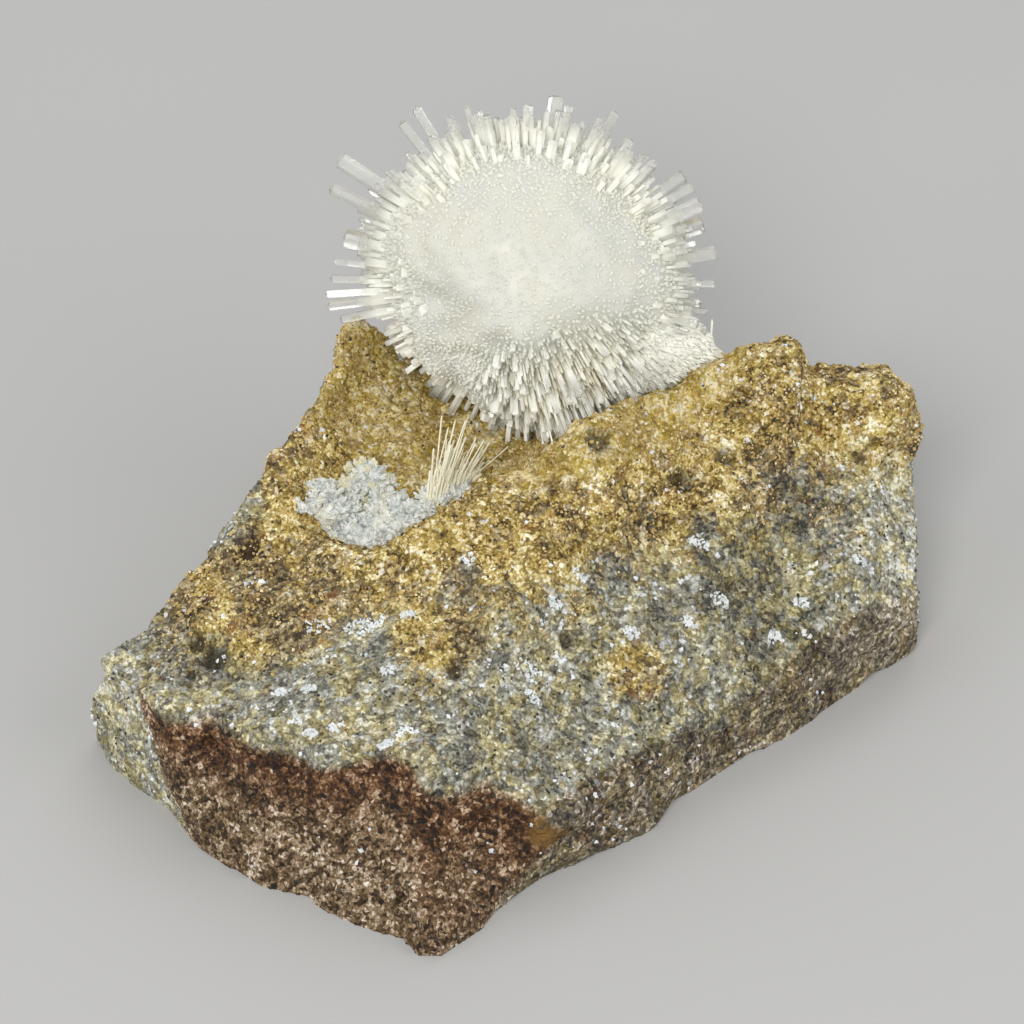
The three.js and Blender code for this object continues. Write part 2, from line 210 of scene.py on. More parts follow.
class NodeSheet:
    """Adds nodes to one shader tree or geometry tree."""

    def __init__(self, tree: bpy.types.NodeTree) -> None:
        """Starts from a tree, whose nodes it leaves as they are."""
        self.tree = tree

    def add(self, kind: str, settings: dict | None = None, inputs: dict | None = None) -> Wire:
        """Makes any node.

        Args:
            kind: the node's type.
            settings: properties to set first; "stops" sets a colour ramp's stops.
            inputs: values or wires by socket name, or by number.

        Returns:
            A wire from the node's first output in use.
        """
        node = self.tree.nodes.new(kind)
        for name, value in (settings or {}).items():
            if name == "stops":
                self._set_stops(node.color_ramp, value)
            else:
                setattr(node, name, value)
        for key, value in (inputs or {}).items():
            if isinstance(key, int):
                socket = node.inputs[key]
            else:
                socket = next(s for s in node.inputs if s.enabled and s.name == key)
            if isinstance(value, Wire):
                self.tree.links.new(value.socket, socket)
            else:
                socket.default_value = value
        return Wire(self, node)

    @staticmethod
    def _set_stops(ramp: bpy.types.ColorRamp, stops: tuple) -> None:
        """Gives a ramp its places and colours."""
        while len(ramp.elements) < len(stops):
            ramp.elements.new(1.0)
        for element, (where, colour) in zip(ramp.elements, stops):
            element.position = where
            element.color = (*colour, 1.0)

    def noise(self, position: Wire, size_mm: float, detail: float = 2.0, roughness: float = 0.5) -> Wire:
        """Cloudy noise from 0 to 1, with swells of about the given size."""
        return self.add("ShaderNodeTexNoise", {}, {
            "Vector": position, "Scale": 1 / (size_mm * MM), "Detail": detail, "Roughness": roughness})

    def cells(self, position: Wire, size_mm: float) -> Wire:
        """Cells of about the given size: distance from the middle, colour at random."""
        return self.add("ShaderNodeTexVoronoi", {}, {"Vector": position, "Scale": 1 / (size_mm * MM)})

    def channel(self, colour: Wire, axis: int) -> Wire:
        """One of the three numbers of a colour or vector."""
        unit = tuple(float(i == axis) for i in range(3))
        return self.vector("DOT_PRODUCT", colour, unit).output("Value")

    def named(self, name: str, kind: str = "FLOAT") -> Wire:
        """Reads a mesh's named attribute in a geometry tree."""
        return self.add("GeometryNodeInputNamedAttribute", {"data_type": kind}, {"Name": name})

    def vector(self, operation: str, *operands: Wire | tuple) -> Wire:
        """Adds a Vector Math node."""
        return self.add("ShaderNodeVectorMath", {"operation": operation}, dict(enumerate(operands)))

    def scaled(self, vector: Wire, amount: Wire | float) -> Wire:
        """A vector made longer or shorter."""
        return self.add("ShaderNodeVectorMath", {"operation": "SCALE"}, {"Vector": vector, "Scale": amount})

    def distance(self, position: Wire, centre: Vector) -> Wire:
        """How far a position is from a fixed point."""
        return self.vector("DISTANCE", position, tuple(centre)).output("Value")

    def smooth(self, value: Wire, low: float, high: float) -> Wire:
        """Runs softly from 0 at low to 1 at high; low may be the larger."""
        first, last = (0.0, 1.0) if low < high else (1.0, 0.0)
        return self.add("ShaderNodeMapRange", {"interpolation_type": "SMOOTHSTEP"}, {
            "Value": value, "From Min": min(low, high), "From Max": max(low, high),
            "To Min": first, "To Max": last})

    def mix(self, share: Wire | float, first: Wire | tuple, second: Wire | tuple) -> Wire:
        """Mixes two colours."""
        one, other = (value if isinstance(value, Wire) else (*value, 1.0) for value in (first, second))
        return self.add("ShaderNodeMix", {"data_type": "RGBA"}, {"Factor": share, "A": one, "B": other})

    def ramp(self, value: Wire, stops: tuple) -> Wire:
        """A colour ramp with these stops."""
        return self.add("ShaderNodeValToRGB", {"stops": stops}, {0: value})


class GeometrySheet(NodeSheet):
    """A geometry tree under way, with inputs of its own and one output."""

    def __init__(self, name: str, inputs: dict[str, str]) -> None:
        """Starts the tree.

        Args:
            name: the tree's name.
            inputs: the kind of each input by its name.
        """
        tree = bpy.data.node_groups.new(name, "GeometryNodeTree")
        for key, kind in inputs.items():
            tree.interface.new_socket(key, in_out="INPUT", socket_type=f"NodeSocket{kind}")
        tree.interface.new_socket("Geometry", in_out="OUTPUT", socket_type="NodeSocketGeometry")
        super().__init__(tree)
        self.inputs = self.add("NodeGroupInput")

    def given(self, name: str) -> Wire:
        """One of the tree's own inputs."""
        return self.inputs.output(name)

    def random(self, kind: str, low: float | tuple, high: float | tuple | Wire) -> Wire:
        """A number or vector at random for each point, by the tree's own seed."""
        return self.add("FunctionNodeRandomValue", {"data_type": kind}, {
            "Min": low, "Max": high, "Seed": self.given("Seed")})

    def pushed(self, skin: Wire, inputs: dict[str, Wire]) -> bpy.types.NodeTree:
        """Moves the points of a skin and ends the tree."""
        return self.finished(self.add("GeometryNodeSetPosition", {}, {"Geometry": skin, **inputs}))

    def stood(self, points: Wire, rotation: Wire, size: Wire) -> bpy.types.NodeTree:
        """Stands the tree's shape on each point, makes the copies real, dresses them and ends the tree.

        Args:
            points: where.
            rotation: how each is turned.
            size: the factors on its three sides.

        Returns:
            The tree.
        """
        shape = self.add("GeometryNodeObjectInfo", {}, {"Object": self.given("Shape")})
        copies = self.add("GeometryNodeInstanceOnPoints", {}, {
            "Points": points, "Instance": shape.output("Geometry"), "Rotation": rotation, "Scale": size})
        real = self.add("GeometryNodeRealizeInstances", {}, {"Geometry": copies})
        return self.finished(self.add("GeometryNodeSetMaterial", {}, {
            "Geometry": real, "Material": self.given("Finish")}))

    def finished(self, geometry: Wire) -> bpy.types.NodeTree:
        """Ends the tree in its output."""
        self.add("NodeGroupOutput", {}, {"Geometry": geometry})
        return self.tree


class StoneZones:
    """Where the stone is stained, dark (partly painted shade), pitted or bare, worked out from a position in
    a geometry tree.

    The zones are kept as attributes of the stone's mesh, which its material and its grains read. Sizes are
    in mm. A pair says where a zone starts and where it is full.
    """

    STAIN_LEVEL = 9.2  # height above which the display face is stained, in the middle
    STAIN_MIDDLE = 1.0  # where along the stone that is
    STAIN_DROP = 0.0065  # how that level falls towards both ends, in mm for each square mm
    WANDER = 6.5  # how far the stain's edge strays in large swells
    FRAY = 3.0  # how far it strays in small ones
    OVER_STAIN_LEVEL = (-1.5, 0.9)
    OFF_LEFT_EDGE = (0.5, 2.3)
    OFF_VUG_CENTRE = (12.4, 11.3)
    OFF_NOOK_CENTRE = (7.0, 5.8)
    OFF_STAIN_PATCH = (1.25, 0.75)  # in the patch's own radii, as are the next two
    OFF_TONE_PATCH = (1.25, 0.55)
    OFF_HOLLOW = (1.15, 0.45)
    UNDER_DISPLAY_FACE = (-0.15, -0.55)
    BEHIND_FRONT_LEFT = (-0.75, -0.45)
    OUT_OF_SCOOP = (0.95, 0.65)
    BEHIND_BEVEL = (-0.75, -0.4)
    OVER_FLOOR = (0.05, 0.7)
    OVER_ARRIS = (-3.2, -0.8)
    OFF_SCOOP_CORNER = (1.1, 0.6)

    def __init__(self, sheet: NodeSheet, position: Wire) -> None:
        """Adds the nodes of every zone.

        Args:
            sheet: the tree to build in.
            position: the surface point.
        """
        self.sheet = sheet
        self.position = position
        wander = (sheet.noise(position, 3.4, 4.0, 0.6) - 0.5) * self.WANDER
        fray = (sheet.noise(position, 0.8, 3.0, 0.6) - 0.5) * self.FRAY
        off_middle = sheet.channel(position, 0) / MM - self.STAIN_MIDDLE
        z = sheet.channel(position, 2) / MM
        stain_level = self.STAIN_LEVEL - self.STAIN_DROP * off_middle * off_middle
        high = sheet.smooth(z + wander + fray - stain_level, *self.OVER_STAIN_LEVEL)
        high = high * sheet.smooth(self._above(LEFT_EDGE) + fray * 0.3 + wander * 0.1, *self.OFF_LEFT_EDGE)
        self.vug = sheet.smooth(self._away(VUG_CENTRE) + fray * 0.2, *self.OFF_VUG_CENTRE)
        nook = sheet.smooth(self._away(NOOK_CENTRE) + fray * 0.2, *self.OFF_NOOK_CENTRE)
        patches = self._nearest(STAIN_PATCHES) + fray * 0.14 + wander * 0.05
        patches = sheet.smooth(patches, *self.OFF_STAIN_PATCH)
        self.stained = high.larger(self.vug).larger(nook).larger(patches * 0.9)
        self.under = self._above(BROAD_FACE).larger(self._above(LEFT_SHOULDER))
        dished = sheet.smooth(self._above(FRONT_LEFT), *self.BEHIND_FRONT_LEFT)
        for centre, radius in SCOOPS:
            edge = (radius + beyond for beyond in self.OUT_OF_SCOOP)
            dished = dished.larger(sheet.smooth(self._away(centre), *edge))
        self.scoop = dished * sheet.smooth(self.under, *self.UNDER_DISPLAY_FACE)
        self.bevel = sheet.smooth(self._above(LOWER_BEVEL), *self.BEHIND_BEVEL) * (1 - self.scoop)
        self.hollow = sheet.smooth(self._nearest(HOLLOWS), *self.OFF_HOLLOW)
        self.above_floor = sheet.smooth(z, *self.OVER_FLOOR)

    def _above(self, face: tuple[Vector, Vector]) -> Wire:
        """The height over a broken face's plane."""
        point, facing = face
        short = self.sheet.vector("SUBTRACT", self.position, tuple(point))
        return self.sheet.vector("DOT_PRODUCT", short, tuple(facing)).output("Value") / MM

    def _away(self, centre: Vector) -> Wire:
        """The distance from a fixed point."""
        return self.sheet.distance(self.position, centre) / MM

    def _nearest(self, spots: tuple) -> Wire:
        """The distance to the nearest of some spots, each counted in its own radius."""
        nearest = None
        for x, y, z, radius in spots:
            away = self.sheet.distance(self.position, place(x, y, z)) / (radius * MM)
            nearest = away if nearest is None else nearest.math("MINIMUM", nearest, away)
        return nearest

    def attributes(self) -> dict[str, Wire]:
        """The fields that the stone's mesh keeps, by their attribute's name."""
        sheet, position = self.sheet, self.position
        return {
            "stained": self.stained,
            "vug": self.vug,
            "scoop": self.scoop,
            "bevel": self.bevel,
            "hollow": self.hollow,
            # the band just under the scoop's arris, which takes rust and the painted shadow of the overhang
            "arris": sheet.smooth(self.under, *self.OVER_ARRIS) * self.scoop,
            "patch": sheet.noise(position, 2.8, 4.0, 0.6),
            "blend": sheet.noise(position, 1.3, 4.0, 0.65),
            "rust": sheet.smooth(sheet.noise(position, 1.1, 3.0, 0.6), 0.58, 0.7),
            "strewn": sheet.smooth(sheet.noise(position, 2.1, 3.0, 0.6), 0.5, 0.63),
            "dim": sheet.smooth(self._nearest(DIM_PATCHES), *self.OFF_TONE_PATCH),
            "pale": sheet.smooth(self._nearest(PALE_PATCHES), *self.OFF_TONE_PATCH),
            "ochre": sheet.smooth(self._away(SCOOP_CORNER), *self.OFF_SCOOP_CORNER),
            "above_floor": self.above_floor,
        }


class StoneRelief:
    """The stone's fine shape: hackly plates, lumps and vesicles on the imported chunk. Sizes are in mm."""

    VOXEL = 0.2 * MM  # in metres
    WARP_SIZE = 1.5
    WARP_REACH = 1.6
    # Three orders of plates: the size, and the colour channel that sets their levels
    PLATES = ((2.9, 0), (1.2, 1), (0.6, 1))
    SWELL_SIZE = 1.9
    SWELL_HEIGHT = 1.0
    RUBBLE_SIZE = 0.7
    RUBBLE_HEIGHT = 0.13
    # Vesicles: cell size, the colour channel that picks the cells, edge and bottom as shares of it, depth
    VESICLES = ((2.3, 2, 0.26, 0.1, 1.0), (1.0, 0, 0.34, 0.14, 0.5))
    PICKED = (0.7, 0.74)  # cells above this channel value have a vesicle

    @classmethod
    def tree(cls) -> bpy.types.NodeTree:
        """Builds the tree that pushes a closed skin in and out along its normal.

        Returns:
            A geometry tree with an input for the height of the plates and one for the depth of the pits.
        """
        sheet = GeometrySheet("stone_relief", {"Skin": "Geometry", "Plates": "Float", "Pits": "Float"})
        position = sheet.add("GeometryNodeInputPosition")
        zones = StoneZones(sheet, position)

        warp = sheet.noise(position, cls.WARP_SIZE, 3.0).output("Color")
        bent = sheet.vector("ADD", position, sheet.scaled(warp, cls.WARP_REACH * MM))
        plates, small_plates, chips = (
            sheet.channel(sheet.cells(bent, size).output("Color"), axis) - 0.5 for size, axis in cls.PLATES)
        swell = sheet.noise(position, cls.SWELL_SIZE, 4.0, 0.65) - 0.5
        rubble = 0.5 - sheet.cells(position, cls.RUBBLE_SIZE).output("Distance")
        rough = 0.5 + 0.65 * zones.stained
        height = sheet.given("Plates") * (plates * 0.42 + small_plates * rough * 0.34 + chips * rough * 0.2)
        height = height + swell * cls.SWELL_HEIGHT * MM + rubble * rough * cls.RUBBLE_HEIGHT * MM

        vesicles = []
        for size, axis, edge, bottom, depth in cls.VESICLES:
            cells = sheet.cells(position, size)
            picked = sheet.smooth(sheet.channel(cells.output("Color"), axis), *cls.PICKED)
            vesicles.append(sheet.smooth(cells.output("Distance"), edge, bottom) * picked * depth)
        height = height - (sum(vesicles) + zones.hollow) * sheet.given("Pits")

        skin = sheet.given("Skin")
        for name, value in zones.attributes().items():
            skin = sheet.add("GeometryNodeStoreNamedAttribute", {"data_type": "FLOAT", "domain": "POINT"}, {
                "Geometry": skin, "Name": name, "Value": value})
        normal = sheet.add("GeometryNodeInputNormal")
        moved = sheet.vector("ADD", position, sheet.scaled(normal, height * zones.above_floor))
        place_at = sheet.add("ShaderNodeCombineXYZ", {}, {
            "X": sheet.channel(moved, 0), "Y": sheet.channel(moved, 1),
            "Z": sheet.channel(moved, 2).larger(0.0)})
        return sheet.pushed(skin, {"Position": place_at})


def linked(name: str, data: bpy.types.ID) -> bpy.types.Object:
    """Makes an object of some data and links it to the scene."""
    obj = bpy.data.objects.new(name, data)
    bpy.context.collection.objects.link(obj)
    return obj


def mesh_object(name: str, points: list, faces: list = ()) -> bpy.types.Object:
    """Makes and links an object from points and faces."""
    mesh = bpy.data.meshes.new(name)
    mesh.from_pydata(points, [], faces)
    return linked(name, mesh)


def even_skin(obj: bpy.types.Object, size: float) -> None:
    """Gives an object one closed skin of even faces of about the given size."""
    remesh = obj.modifiers.new("remesh", "REMESH")
    remesh.mode = "VOXEL"
    remesh.voxel_size = size


def add_tree(obj: bpy.types.Object, tree: bpy.types.NodeTree, inputs: dict) -> None:
    """Adds a geometry tree to an object, before the object is first evaluated.

    Args:
        obj: the object.
        tree: the geometry tree.
        inputs: a number, object or material for each input, by its name in the tree.
    """
    modifier = obj.modifiers.new(tree.name, "NODES")
    modifier.node_group = tree
    sockets = {item.name: item.identifier for item in tree.interface.items_tree if item.in_out == "INPUT"}
    for name, value in inputs.items():
        modifier[sockets[name]] = value


def settled(obj: bpy.types.Object, name: str, material: bpy.types.Material) -> bpy.types.Object:
    """Turns an object and its modifiers into a plain mesh object.

    Args:
        obj: the object to take the shape from; it is removed.
        name: the new piece's name.
        material: the piece's only material.

    Returns:
        The new piece, which rides on the body.
    """
    evaluated = obj.evaluated_get(bpy.context.evaluated_depsgraph_get())
    mesh = bpy.data.meshes.new_from_object(evaluated)
    mesh.name = name
    mesh.materials.clear()
    mesh.materials.append(material)
    bpy.data.objects.remove(obj)
    piece = linked(name, mesh)
    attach(piece, BODY)
    log.info("%s: %d faces", name, len(mesh.polygons))
    return piece


class Finish:
    """A material built on a Principled shader."""

    def __init__(self, name: str) -> None:
        """Starts an empty material."""
        self.material = bpy.data.materials.new(name)
        self.material.use_nodes = True
        self.material.node_tree.nodes.clear()
        self.sheet = NodeSheet(self.material.node_tree)
        self.position = self.sheet.add("ShaderNodeTexCoord").output("Object")

    def shader(self, inputs: dict) -> Wire:
        """Adds a Principled shader with these inputs."""
        return self.sheet.add("ShaderNodeBsdfPrincipled", {"subsurface_method": "RANDOM_WALK"}, inputs)

    def attribute(self, name: str) -> Wire:
        """A number that the piece's own mesh keeps."""
        return self.sheet.add("ShaderNodeAttribute", {"attribute_name": name}).output("Fac")

    def bump(self, height: Wire, depth_mm: float, strength: float = 1.0) -> Wire:
        """Turns a height from 0 to 1 into a surface direction."""
        return self.sheet.add("ShaderNodeBump", {}, {
            "Height": height, "Distance": depth_mm * MM, "Strength": strength})

    def finished(self, shader: Wire) -> bpy.types.Material:
        """Ends the tree in its output."""
        self.sheet.add("ShaderNodeOutputMaterial", {}, {"Surface": shader})
        return self.material


# The shares of the grains at which a run of seven colours has its stops
TONE_PLACES = (0.08, 0.24, 0.38, 0.5, 0.63, 0.78, 0.93)


def tones(*colours: tuple) -> tuple:
    """The stops of a run of colours from the darkest grain to the palest."""
    return tuple(zip(TONE_PLACES, colours))


@dataclass(frozen=True)
class StoneFinish:
    """Broken basalt: grey and speckled below, stained brown with limonite above, dark brown in the scoop,
    which is partly painted shade.
    """

    grain: float = 0.4  # mm, as the next two
    fine_grain: float = 0.19
    speck: float = 0.13
    # How far each of these moves the tone of a grain, and how much more or less so where it is stained
    by_fine_grain: float = 0.42
    by_grain: float = 0.2
    by_speck: float = 0.85
    by_blend: float = 0.8
    by_patch: float = 0.4
    by_stained_patch: float = 0.2
    by_dim: float = 0.15
    by_stained_dim: float = 0.1
    # by_bevel darkens the lower bevel, which faces down: painted shade
    by_bevel: float = 0.05
    by_pale: float = 0.15
    by_vug: float = 0.17
    lift: float = 0.058  # how much paler the whole stone is than the middle of its tones
    # The shares of a colour laid over the rest
    blotch_bare: float = 0.4
    blotch_stained: float = 0.75
    # hollow_shade is the share of painted shade laid in the hollows
    hollow_shade: float = 0.8
    vug_yellow: float = 0.42
    corner_ochre: float = 0.6
    bluish: tuple = tones(
        (0.022, 0.022, 0.019), (0.07, 0.07, 0.057), (0.137, 0.137, 0.112), (0.213, 0.212, 0.172),
        (0.305, 0.304, 0.25), (0.46, 0.475, 0.43), (0.76, 0.79, 0.78))
    olive: tuple = tones(
        (0.03, 0.022, 0.011), (0.09, 0.075, 0.034), (0.178, 0.15, 0.068), (0.265, 0.228, 0.108),
        (0.378, 0.33, 0.162), (0.565, 0.51, 0.29), (0.82, 0.78, 0.55))
    brown: tuple = tones(
        (0.018, 0.011, 0.004), (0.08, 0.048, 0.012), (0.188, 0.125, 0.026), (0.335, 0.237, 0.052),
        (0.51, 0.385, 0.11), (0.78, 0.675, 0.33), (0.97, 0.935, 0.78))
    umber: tuple = tones(
        (0.01, 0.007, 0.003), (0.045, 0.028, 0.011), (0.11, 0.074, 0.028), (0.195, 0.14, 0.058),
        (0.315, 0.243, 0.114), (0.54, 0.45, 0.27), (0.88, 0.83, 0.68))
    # dark brown of the scoop, darkened further with painted shade because the scoop faces down and away; the
    # lower bevel takes it too
    scoop_brown_and_shade: tuple = tones(
        (0.003, 0.002, 0.001), (0.014, 0.008, 0.003), (0.05, 0.028, 0.011), (0.112, 0.069, 0.031),
        (0.212, 0.143, 0.076), (0.43, 0.33, 0.225), (0.8, 0.73, 0.63))
    # rust along the scoop's arris, darkened almost to black with the painted shadow of the overhang
    rust_and_overhang_shadow: tuple = tones(
        (0.002, 0.001, 0.001), (0.007, 0.003, 0.001), (0.023, 0.009, 0.003), (0.058, 0.022, 0.006),
        (0.118, 0.051, 0.017), (0.24, 0.135, 0.064), (0.55, 0.42, 0.3))
    rust: tuple = (0.3, 0.11, 0.02)
    yellow: tuple = (0.44, 0.31, 0.025)
    ochre: tuple = (0.27, 0.15, 0.035)
    cream: tuple = (0.92, 0.86, 0.7)
    zeolite: tuple = (0.74, 0.79, 0.83)
    # painted shade, laid in the cracks between grains and in the hollows
    shade: tuple = (0.018, 0.012, 0.007)

    def build(self) -> bpy.types.Material:
        """Builds the material."""
        finish = Finish("limonite_stained_basalt")
        sheet, position, zone = finish.sheet, finish.position, finish.attribute
        cells = sheet.cells(position, self.grain)
        fine = sheet.cells(position, self.fine_grain)
        fine_pick = sheet.channel(fine.output("Color"), 0)
        hue = sheet.channel(cells.output("Color"), 1) * 0.6 + zone("patch") * 1.2 - 0.4
        base = self.broken_stone(finish, self.tone(finish, cells, fine_pick), hue)
        blotch = sheet.smooth(sheet.noise(position, 0.5, 3.0), 0.59, 0.66) * zone("strewn")
        bare = (1 - zone("stained")) * (1 - zone("scoop"))
        base = sheet.mix(blotch * bare * self.blotch_bare, base, self.zeolite)
        base = sheet.mix(blotch * zone("stained") * self.blotch_stained, base, self.cream)
        # painted shade in the cracks between the fine grains
        base = sheet.mix(sheet.smooth(fine.output("Distance"), 0.5, 0.9) * 0.3, base, self.shade)
        # painted shade in the hollows
        base = sheet.mix(zone("hollow") * self.hollow_shade, base, self.shade)
        glint = sheet.smooth(sheet.channel(fine.output("Color"), 1), 0.9, 0.93)
        height = (1 - cells.output("Distance")) * 0.5 + (1 - fine.output("Distance")) * 0.5 + fine_pick * 0.4
        return finish.finished(finish.shader({
            "Base Color": base,
            "Roughness": 0.85 - 0.6 * glint,
            "Specular IOR Level": 0.4,
            "Normal": finish.bump(height, 0.1),
        }))

    def tone(self, finish: Finish, cells: Wire, fine_pick: Wire) -> Wire:
        """How pale each grain is.

        Args:
            finish: the material under way.
            cells: the grains.
            fine_pick: a number at random for each fine grain.

        Returns:
            A number from about 0 to 1.
        """
        sheet, zone = finish.sheet, finish.attribute
        pick = sheet.channel(cells.output("Color"), 0)
        specks = sheet.noise(finish.position, self.speck, 2.0, 0.6)
        tone = 0.5 + (fine_pick - 0.5) * self.by_fine_grain + (pick - 0.5) * self.by_grain
        tone = tone + (specks - 0.5) * self.by_speck + (zone("blend") - 0.5) * self.by_blend
        by_patch = self.by_patch + self.by_stained_patch * zone("stained")
        tone = tone + (zone("patch") - 0.5) * by_patch + self.lift
        by_dim = self.by_dim - self.by_stained_dim * zone("stained")
        # the bevel's darker tone is painted shade
        tone = tone - zone("dim") * by_dim - zone("bevel") * self.by_bevel
        return tone + zone("pale") * self.by_pale + zone("vug") * self.by_vug

    def broken_stone(self, finish: Finish, tone: Wire, hue: Wire) -> Wire:
        """Colours the stone by its zones.

        Args:
            finish: the material under way.
            tone: how pale each grain is, from 0 to 1.
            hue: which of two kindred colours each grain takes, about 0 to 1.

        Returns:
            The colour.
        """
        sheet, zone = finish.sheet, finish.attribute
        bluish, olive, brown, umber, scoop_brown_and_shade, rust_and_overhang_shadow = (
            sheet.ramp(tone, stops)
            for stops in (self.bluish, self.olive, self.brown, self.umber, self.scoop_brown_and_shade, self.rust_and_overhang_shadow))
        stained = zone("stained")
        grey = sheet.mix(sheet.smooth(hue, 0.24, 0.82), bluish, olive)
        patchy = hue + (zone("patch") - 0.5) * 1.3 - zone("dim") * 0.3
        base = sheet.mix(stained, grey, sheet.mix(sheet.smooth(patchy, 0.56, 0.26), brown, umber))
        base = sheet.mix(zone("rust") * (0.1 + 0.4 * stained), base, self.rust)
        # the lower bevel, which faces down, is darkened with painted shade
        base = sheet.mix(zone("bevel") * (1 - stained) * (0.55 + 0.3 * zone("strewn")), base, scoop_brown_and_shade)
        # the scoop takes its dark brown, which is partly painted shade
        base = sheet.mix(zone("scoop"), base, scoop_brown_and_shade)
        # rust and the painted shadow of the overhang under the arris
        base = sheet.mix(zone("arris"), base, rust_and_overhang_shadow)
        base = sheet.mix(zone("vug") * self.vug_yellow, base, self.yellow)
        return sheet.mix(zone("ochre") * zone("scoop") * self.corner_ochre, base, self.ochre)


class GrainTone(Enum):
    """The tones of loose mineral grains that stand on the stone."""

    STAINED = "stained_grains"
    PALE = "pale_zeolite_specks"
    DARK = "dark_pyroxene_grains"


@dataclass(frozen=True)
class GrainFinish:
    """A mineral grain: its stops of colour, picked at random along a fine noise, and how glossy it is."""

    name: str
    stops: tuple
    roughness: float

    def build(self) -> bpy.types.Material:
        """Builds the material."""
        finish = Finish(self.name)
        sheet, position = finish.sheet, finish.position
        pick = sheet.channel(sheet.cells(position, 0.33).output("Color"), 0)
        tone = pick * 0.8 + sheet.noise(position, 1.1, 2.0) * 0.4 - 0.1
        return finish.finished(finish.shader({
            "Base Color": sheet.ramp(tone, self.stops),
            "Roughness": self.roughness + 0.2 * (sheet.noise(position, 0.1, 1.0) - 0.5),
            "Normal": finish.bump(sheet.noise(position, 0.07, 2.0), 0.02, 0.6),
        }))


GRAIN_FINISHES = {
    GrainTone.STAINED: GrainFinish("limonite_coated_grain", (
        (0.0, (0.14, 0.08, 0.025)), (0.2, (0.32, 0.2, 0.06)), (0.45, (0.46, 0.32, 0.1)),
        (0.7, (0.6, 0.45, 0.18)), (0.88, (0.8, 0.68, 0.4)), (0.97, (0.93, 0.88, 0.72))), 0.5),
    GrainTone.PALE: GrainFinish("bluish_zeolite_speck", (
        (0.0, (0.5, 0.53, 0.55)), (0.4, (0.68, 0.71, 0.74)), (0.8, (0.82, 0.85, 0.88))), 0.45),
    GrainTone.DARK: GrainFinish("dark_pyroxene", (
        (0.0, (0.015, 0.013, 0.012)), (0.5, (0.04, 0.032, 0.025)), (1.0, (0.1, 0.08, 0.06))), 0.4),
}


@dataclass(frozen=True)
class CrystalFinish:
    """Natrolite: milky where the prisms are packed together, water-clear where they stand free.

    The share of clear crystal grows with the distance from the point that the prisms radiate from.
    """

    name: str
    centre: Vector
    milky_within: float  # metres from the centre
    clear_beyond: float
    clearest: float = 0.82
    tint: tuple = (0.725, 0.732, 0.67)
    warm: tuple = (0.86, 0.825, 0.68)
    soft: float = 0.0  # the share of light that a solid milky mass scatters inside
    creamy_spot: Vector | None = None  # where the crystal is wholly of the warm tint

    def build(self) -> bpy.types.Material:
        """Builds the material."""
        finish = Finish(self.name)
        sheet, position = finish.sheet, finish.position
        out = sheet.distance(position, self.centre)
        share = sheet.smooth(out, self.milky_within, self.clear_beyond) * self.clearest
        cloud = sheet.noise(position, 2.4, 2.0, 0.6)
        fine = sheet.noise(position, 0.25, 1.0, 0.6)
        creamy = sheet.smooth(cloud, 0.4, 0.62) * 0.3
        if self.creamy_spot is not None:
            creamy = creamy.larger(sheet.smooth(sheet.distance(position, self.creamy_spot) / MM, 5.0, 2.0))
        milky = finish.shader({
            "Base Color": sheet.mix(creamy, self.tint, self.warm),
            "Roughness": 0.35 + 0.25 * fine,
            "IOR": 1.48,
            "Subsurface Weight": self.soft,
            "Subsurface Radius": (0.8 * MM, 0.8 * MM, 0.75 * MM),
            "Subsurface Scale": 1.0,
            "Normal": finish.bump(sheet.noise(position, 0.14, 1.0), 0.02, 0.3),
        })
        clear = finish.shader({
            "Base Color": (0.99, 0.995, 0.995, 1.0),
            "Roughness": 0.04,
            "IOR": 1.485,
            "Transmission Weight": 1.0,
            "Normal": finish.bump(sheet.noise(position, 0.16, 1.0), 0.01, 0.2),
        })
        return finish.finished(sheet.add("ShaderNodeMixShader", {}, {0: share, 1: milky, 2: clear}))


@dataclass(frozen=True)
class CrustFinish:
    """The druse's sugary crust: bluish white, with pale yellow patches."""

    name: str = "milky_druse_crust"
    cool: tuple = (0.8, 0.85, 0.86)
    white: tuple = (0.96, 0.965, 0.93)
    honey: tuple = (0.8, 0.76, 0.56)
    honey_share: float = 0.35
    soft: float = 0.5

    def build(self) -> bpy.types.Material:
        """Builds the material."""
        finish = Finish(self.name)
        sheet, position = finish.sheet, finish.position
        pick = sheet.channel(sheet.cells(position, 0.3).output("Color"), 0)
        tone = sheet.mix(pick, self.cool, self.white)
        yellow = sheet.smooth(sheet.noise(position, 1.4, 2.0), 0.5, 0.66) * self.honey_share
        return finish.finished(finish.shader({
            "Base Color": sheet.mix(yellow, tone, self.honey),
            "Roughness": 0.25 + 0.4 * pick,
            "IOR": 1.48,
            "Subsurface Weight": self.soft,
            "Subsurface Radius": (0.6 * MM, 0.62 * MM, 0.65 * MM),
            "Subsurface Scale": 1.0,
            "Normal": finish.bump(1 - sheet.cells(position, 0.14).output("Distance"), 0.05, 0.8),
        }))


@dataclass
class Seeds:
    """Points from which crystals grow: where each is rooted, where it aims, and its length and width."""

    roots: list = field(default_factory=list)
    aims: list = field(default_factory=list)
    lengths: list = field(default_factory=list)
    widths: list = field(default_factory=list)

    def plant(self, root: Vector, aim: Vector, length: float, width: float) -> None:
        """Adds one crystal, with sizes in metres."""
        self.roots.append(root)
        self.aims.append(aim.normalized())
        self.lengths.append(length)
        self.widths.append(width)

    def carrier(self, name: str) -> bpy.types.Object:
        """Makes a mesh of bare points that hold the crystals' sizes."""
        obj = mesh_object(name, self.roots)
        aim = obj.data.attributes.new("aim", "FLOAT_VECTOR", "POINT")
        aim.data.foreach_set("vector", [part for one in self.aims for part in one])
        for key, values in (("length", self.lengths), ("width", self.widths)):
            obj.data.attributes.new(key, "FLOAT", "POINT").data.foreach_set("value", values)
        return obj


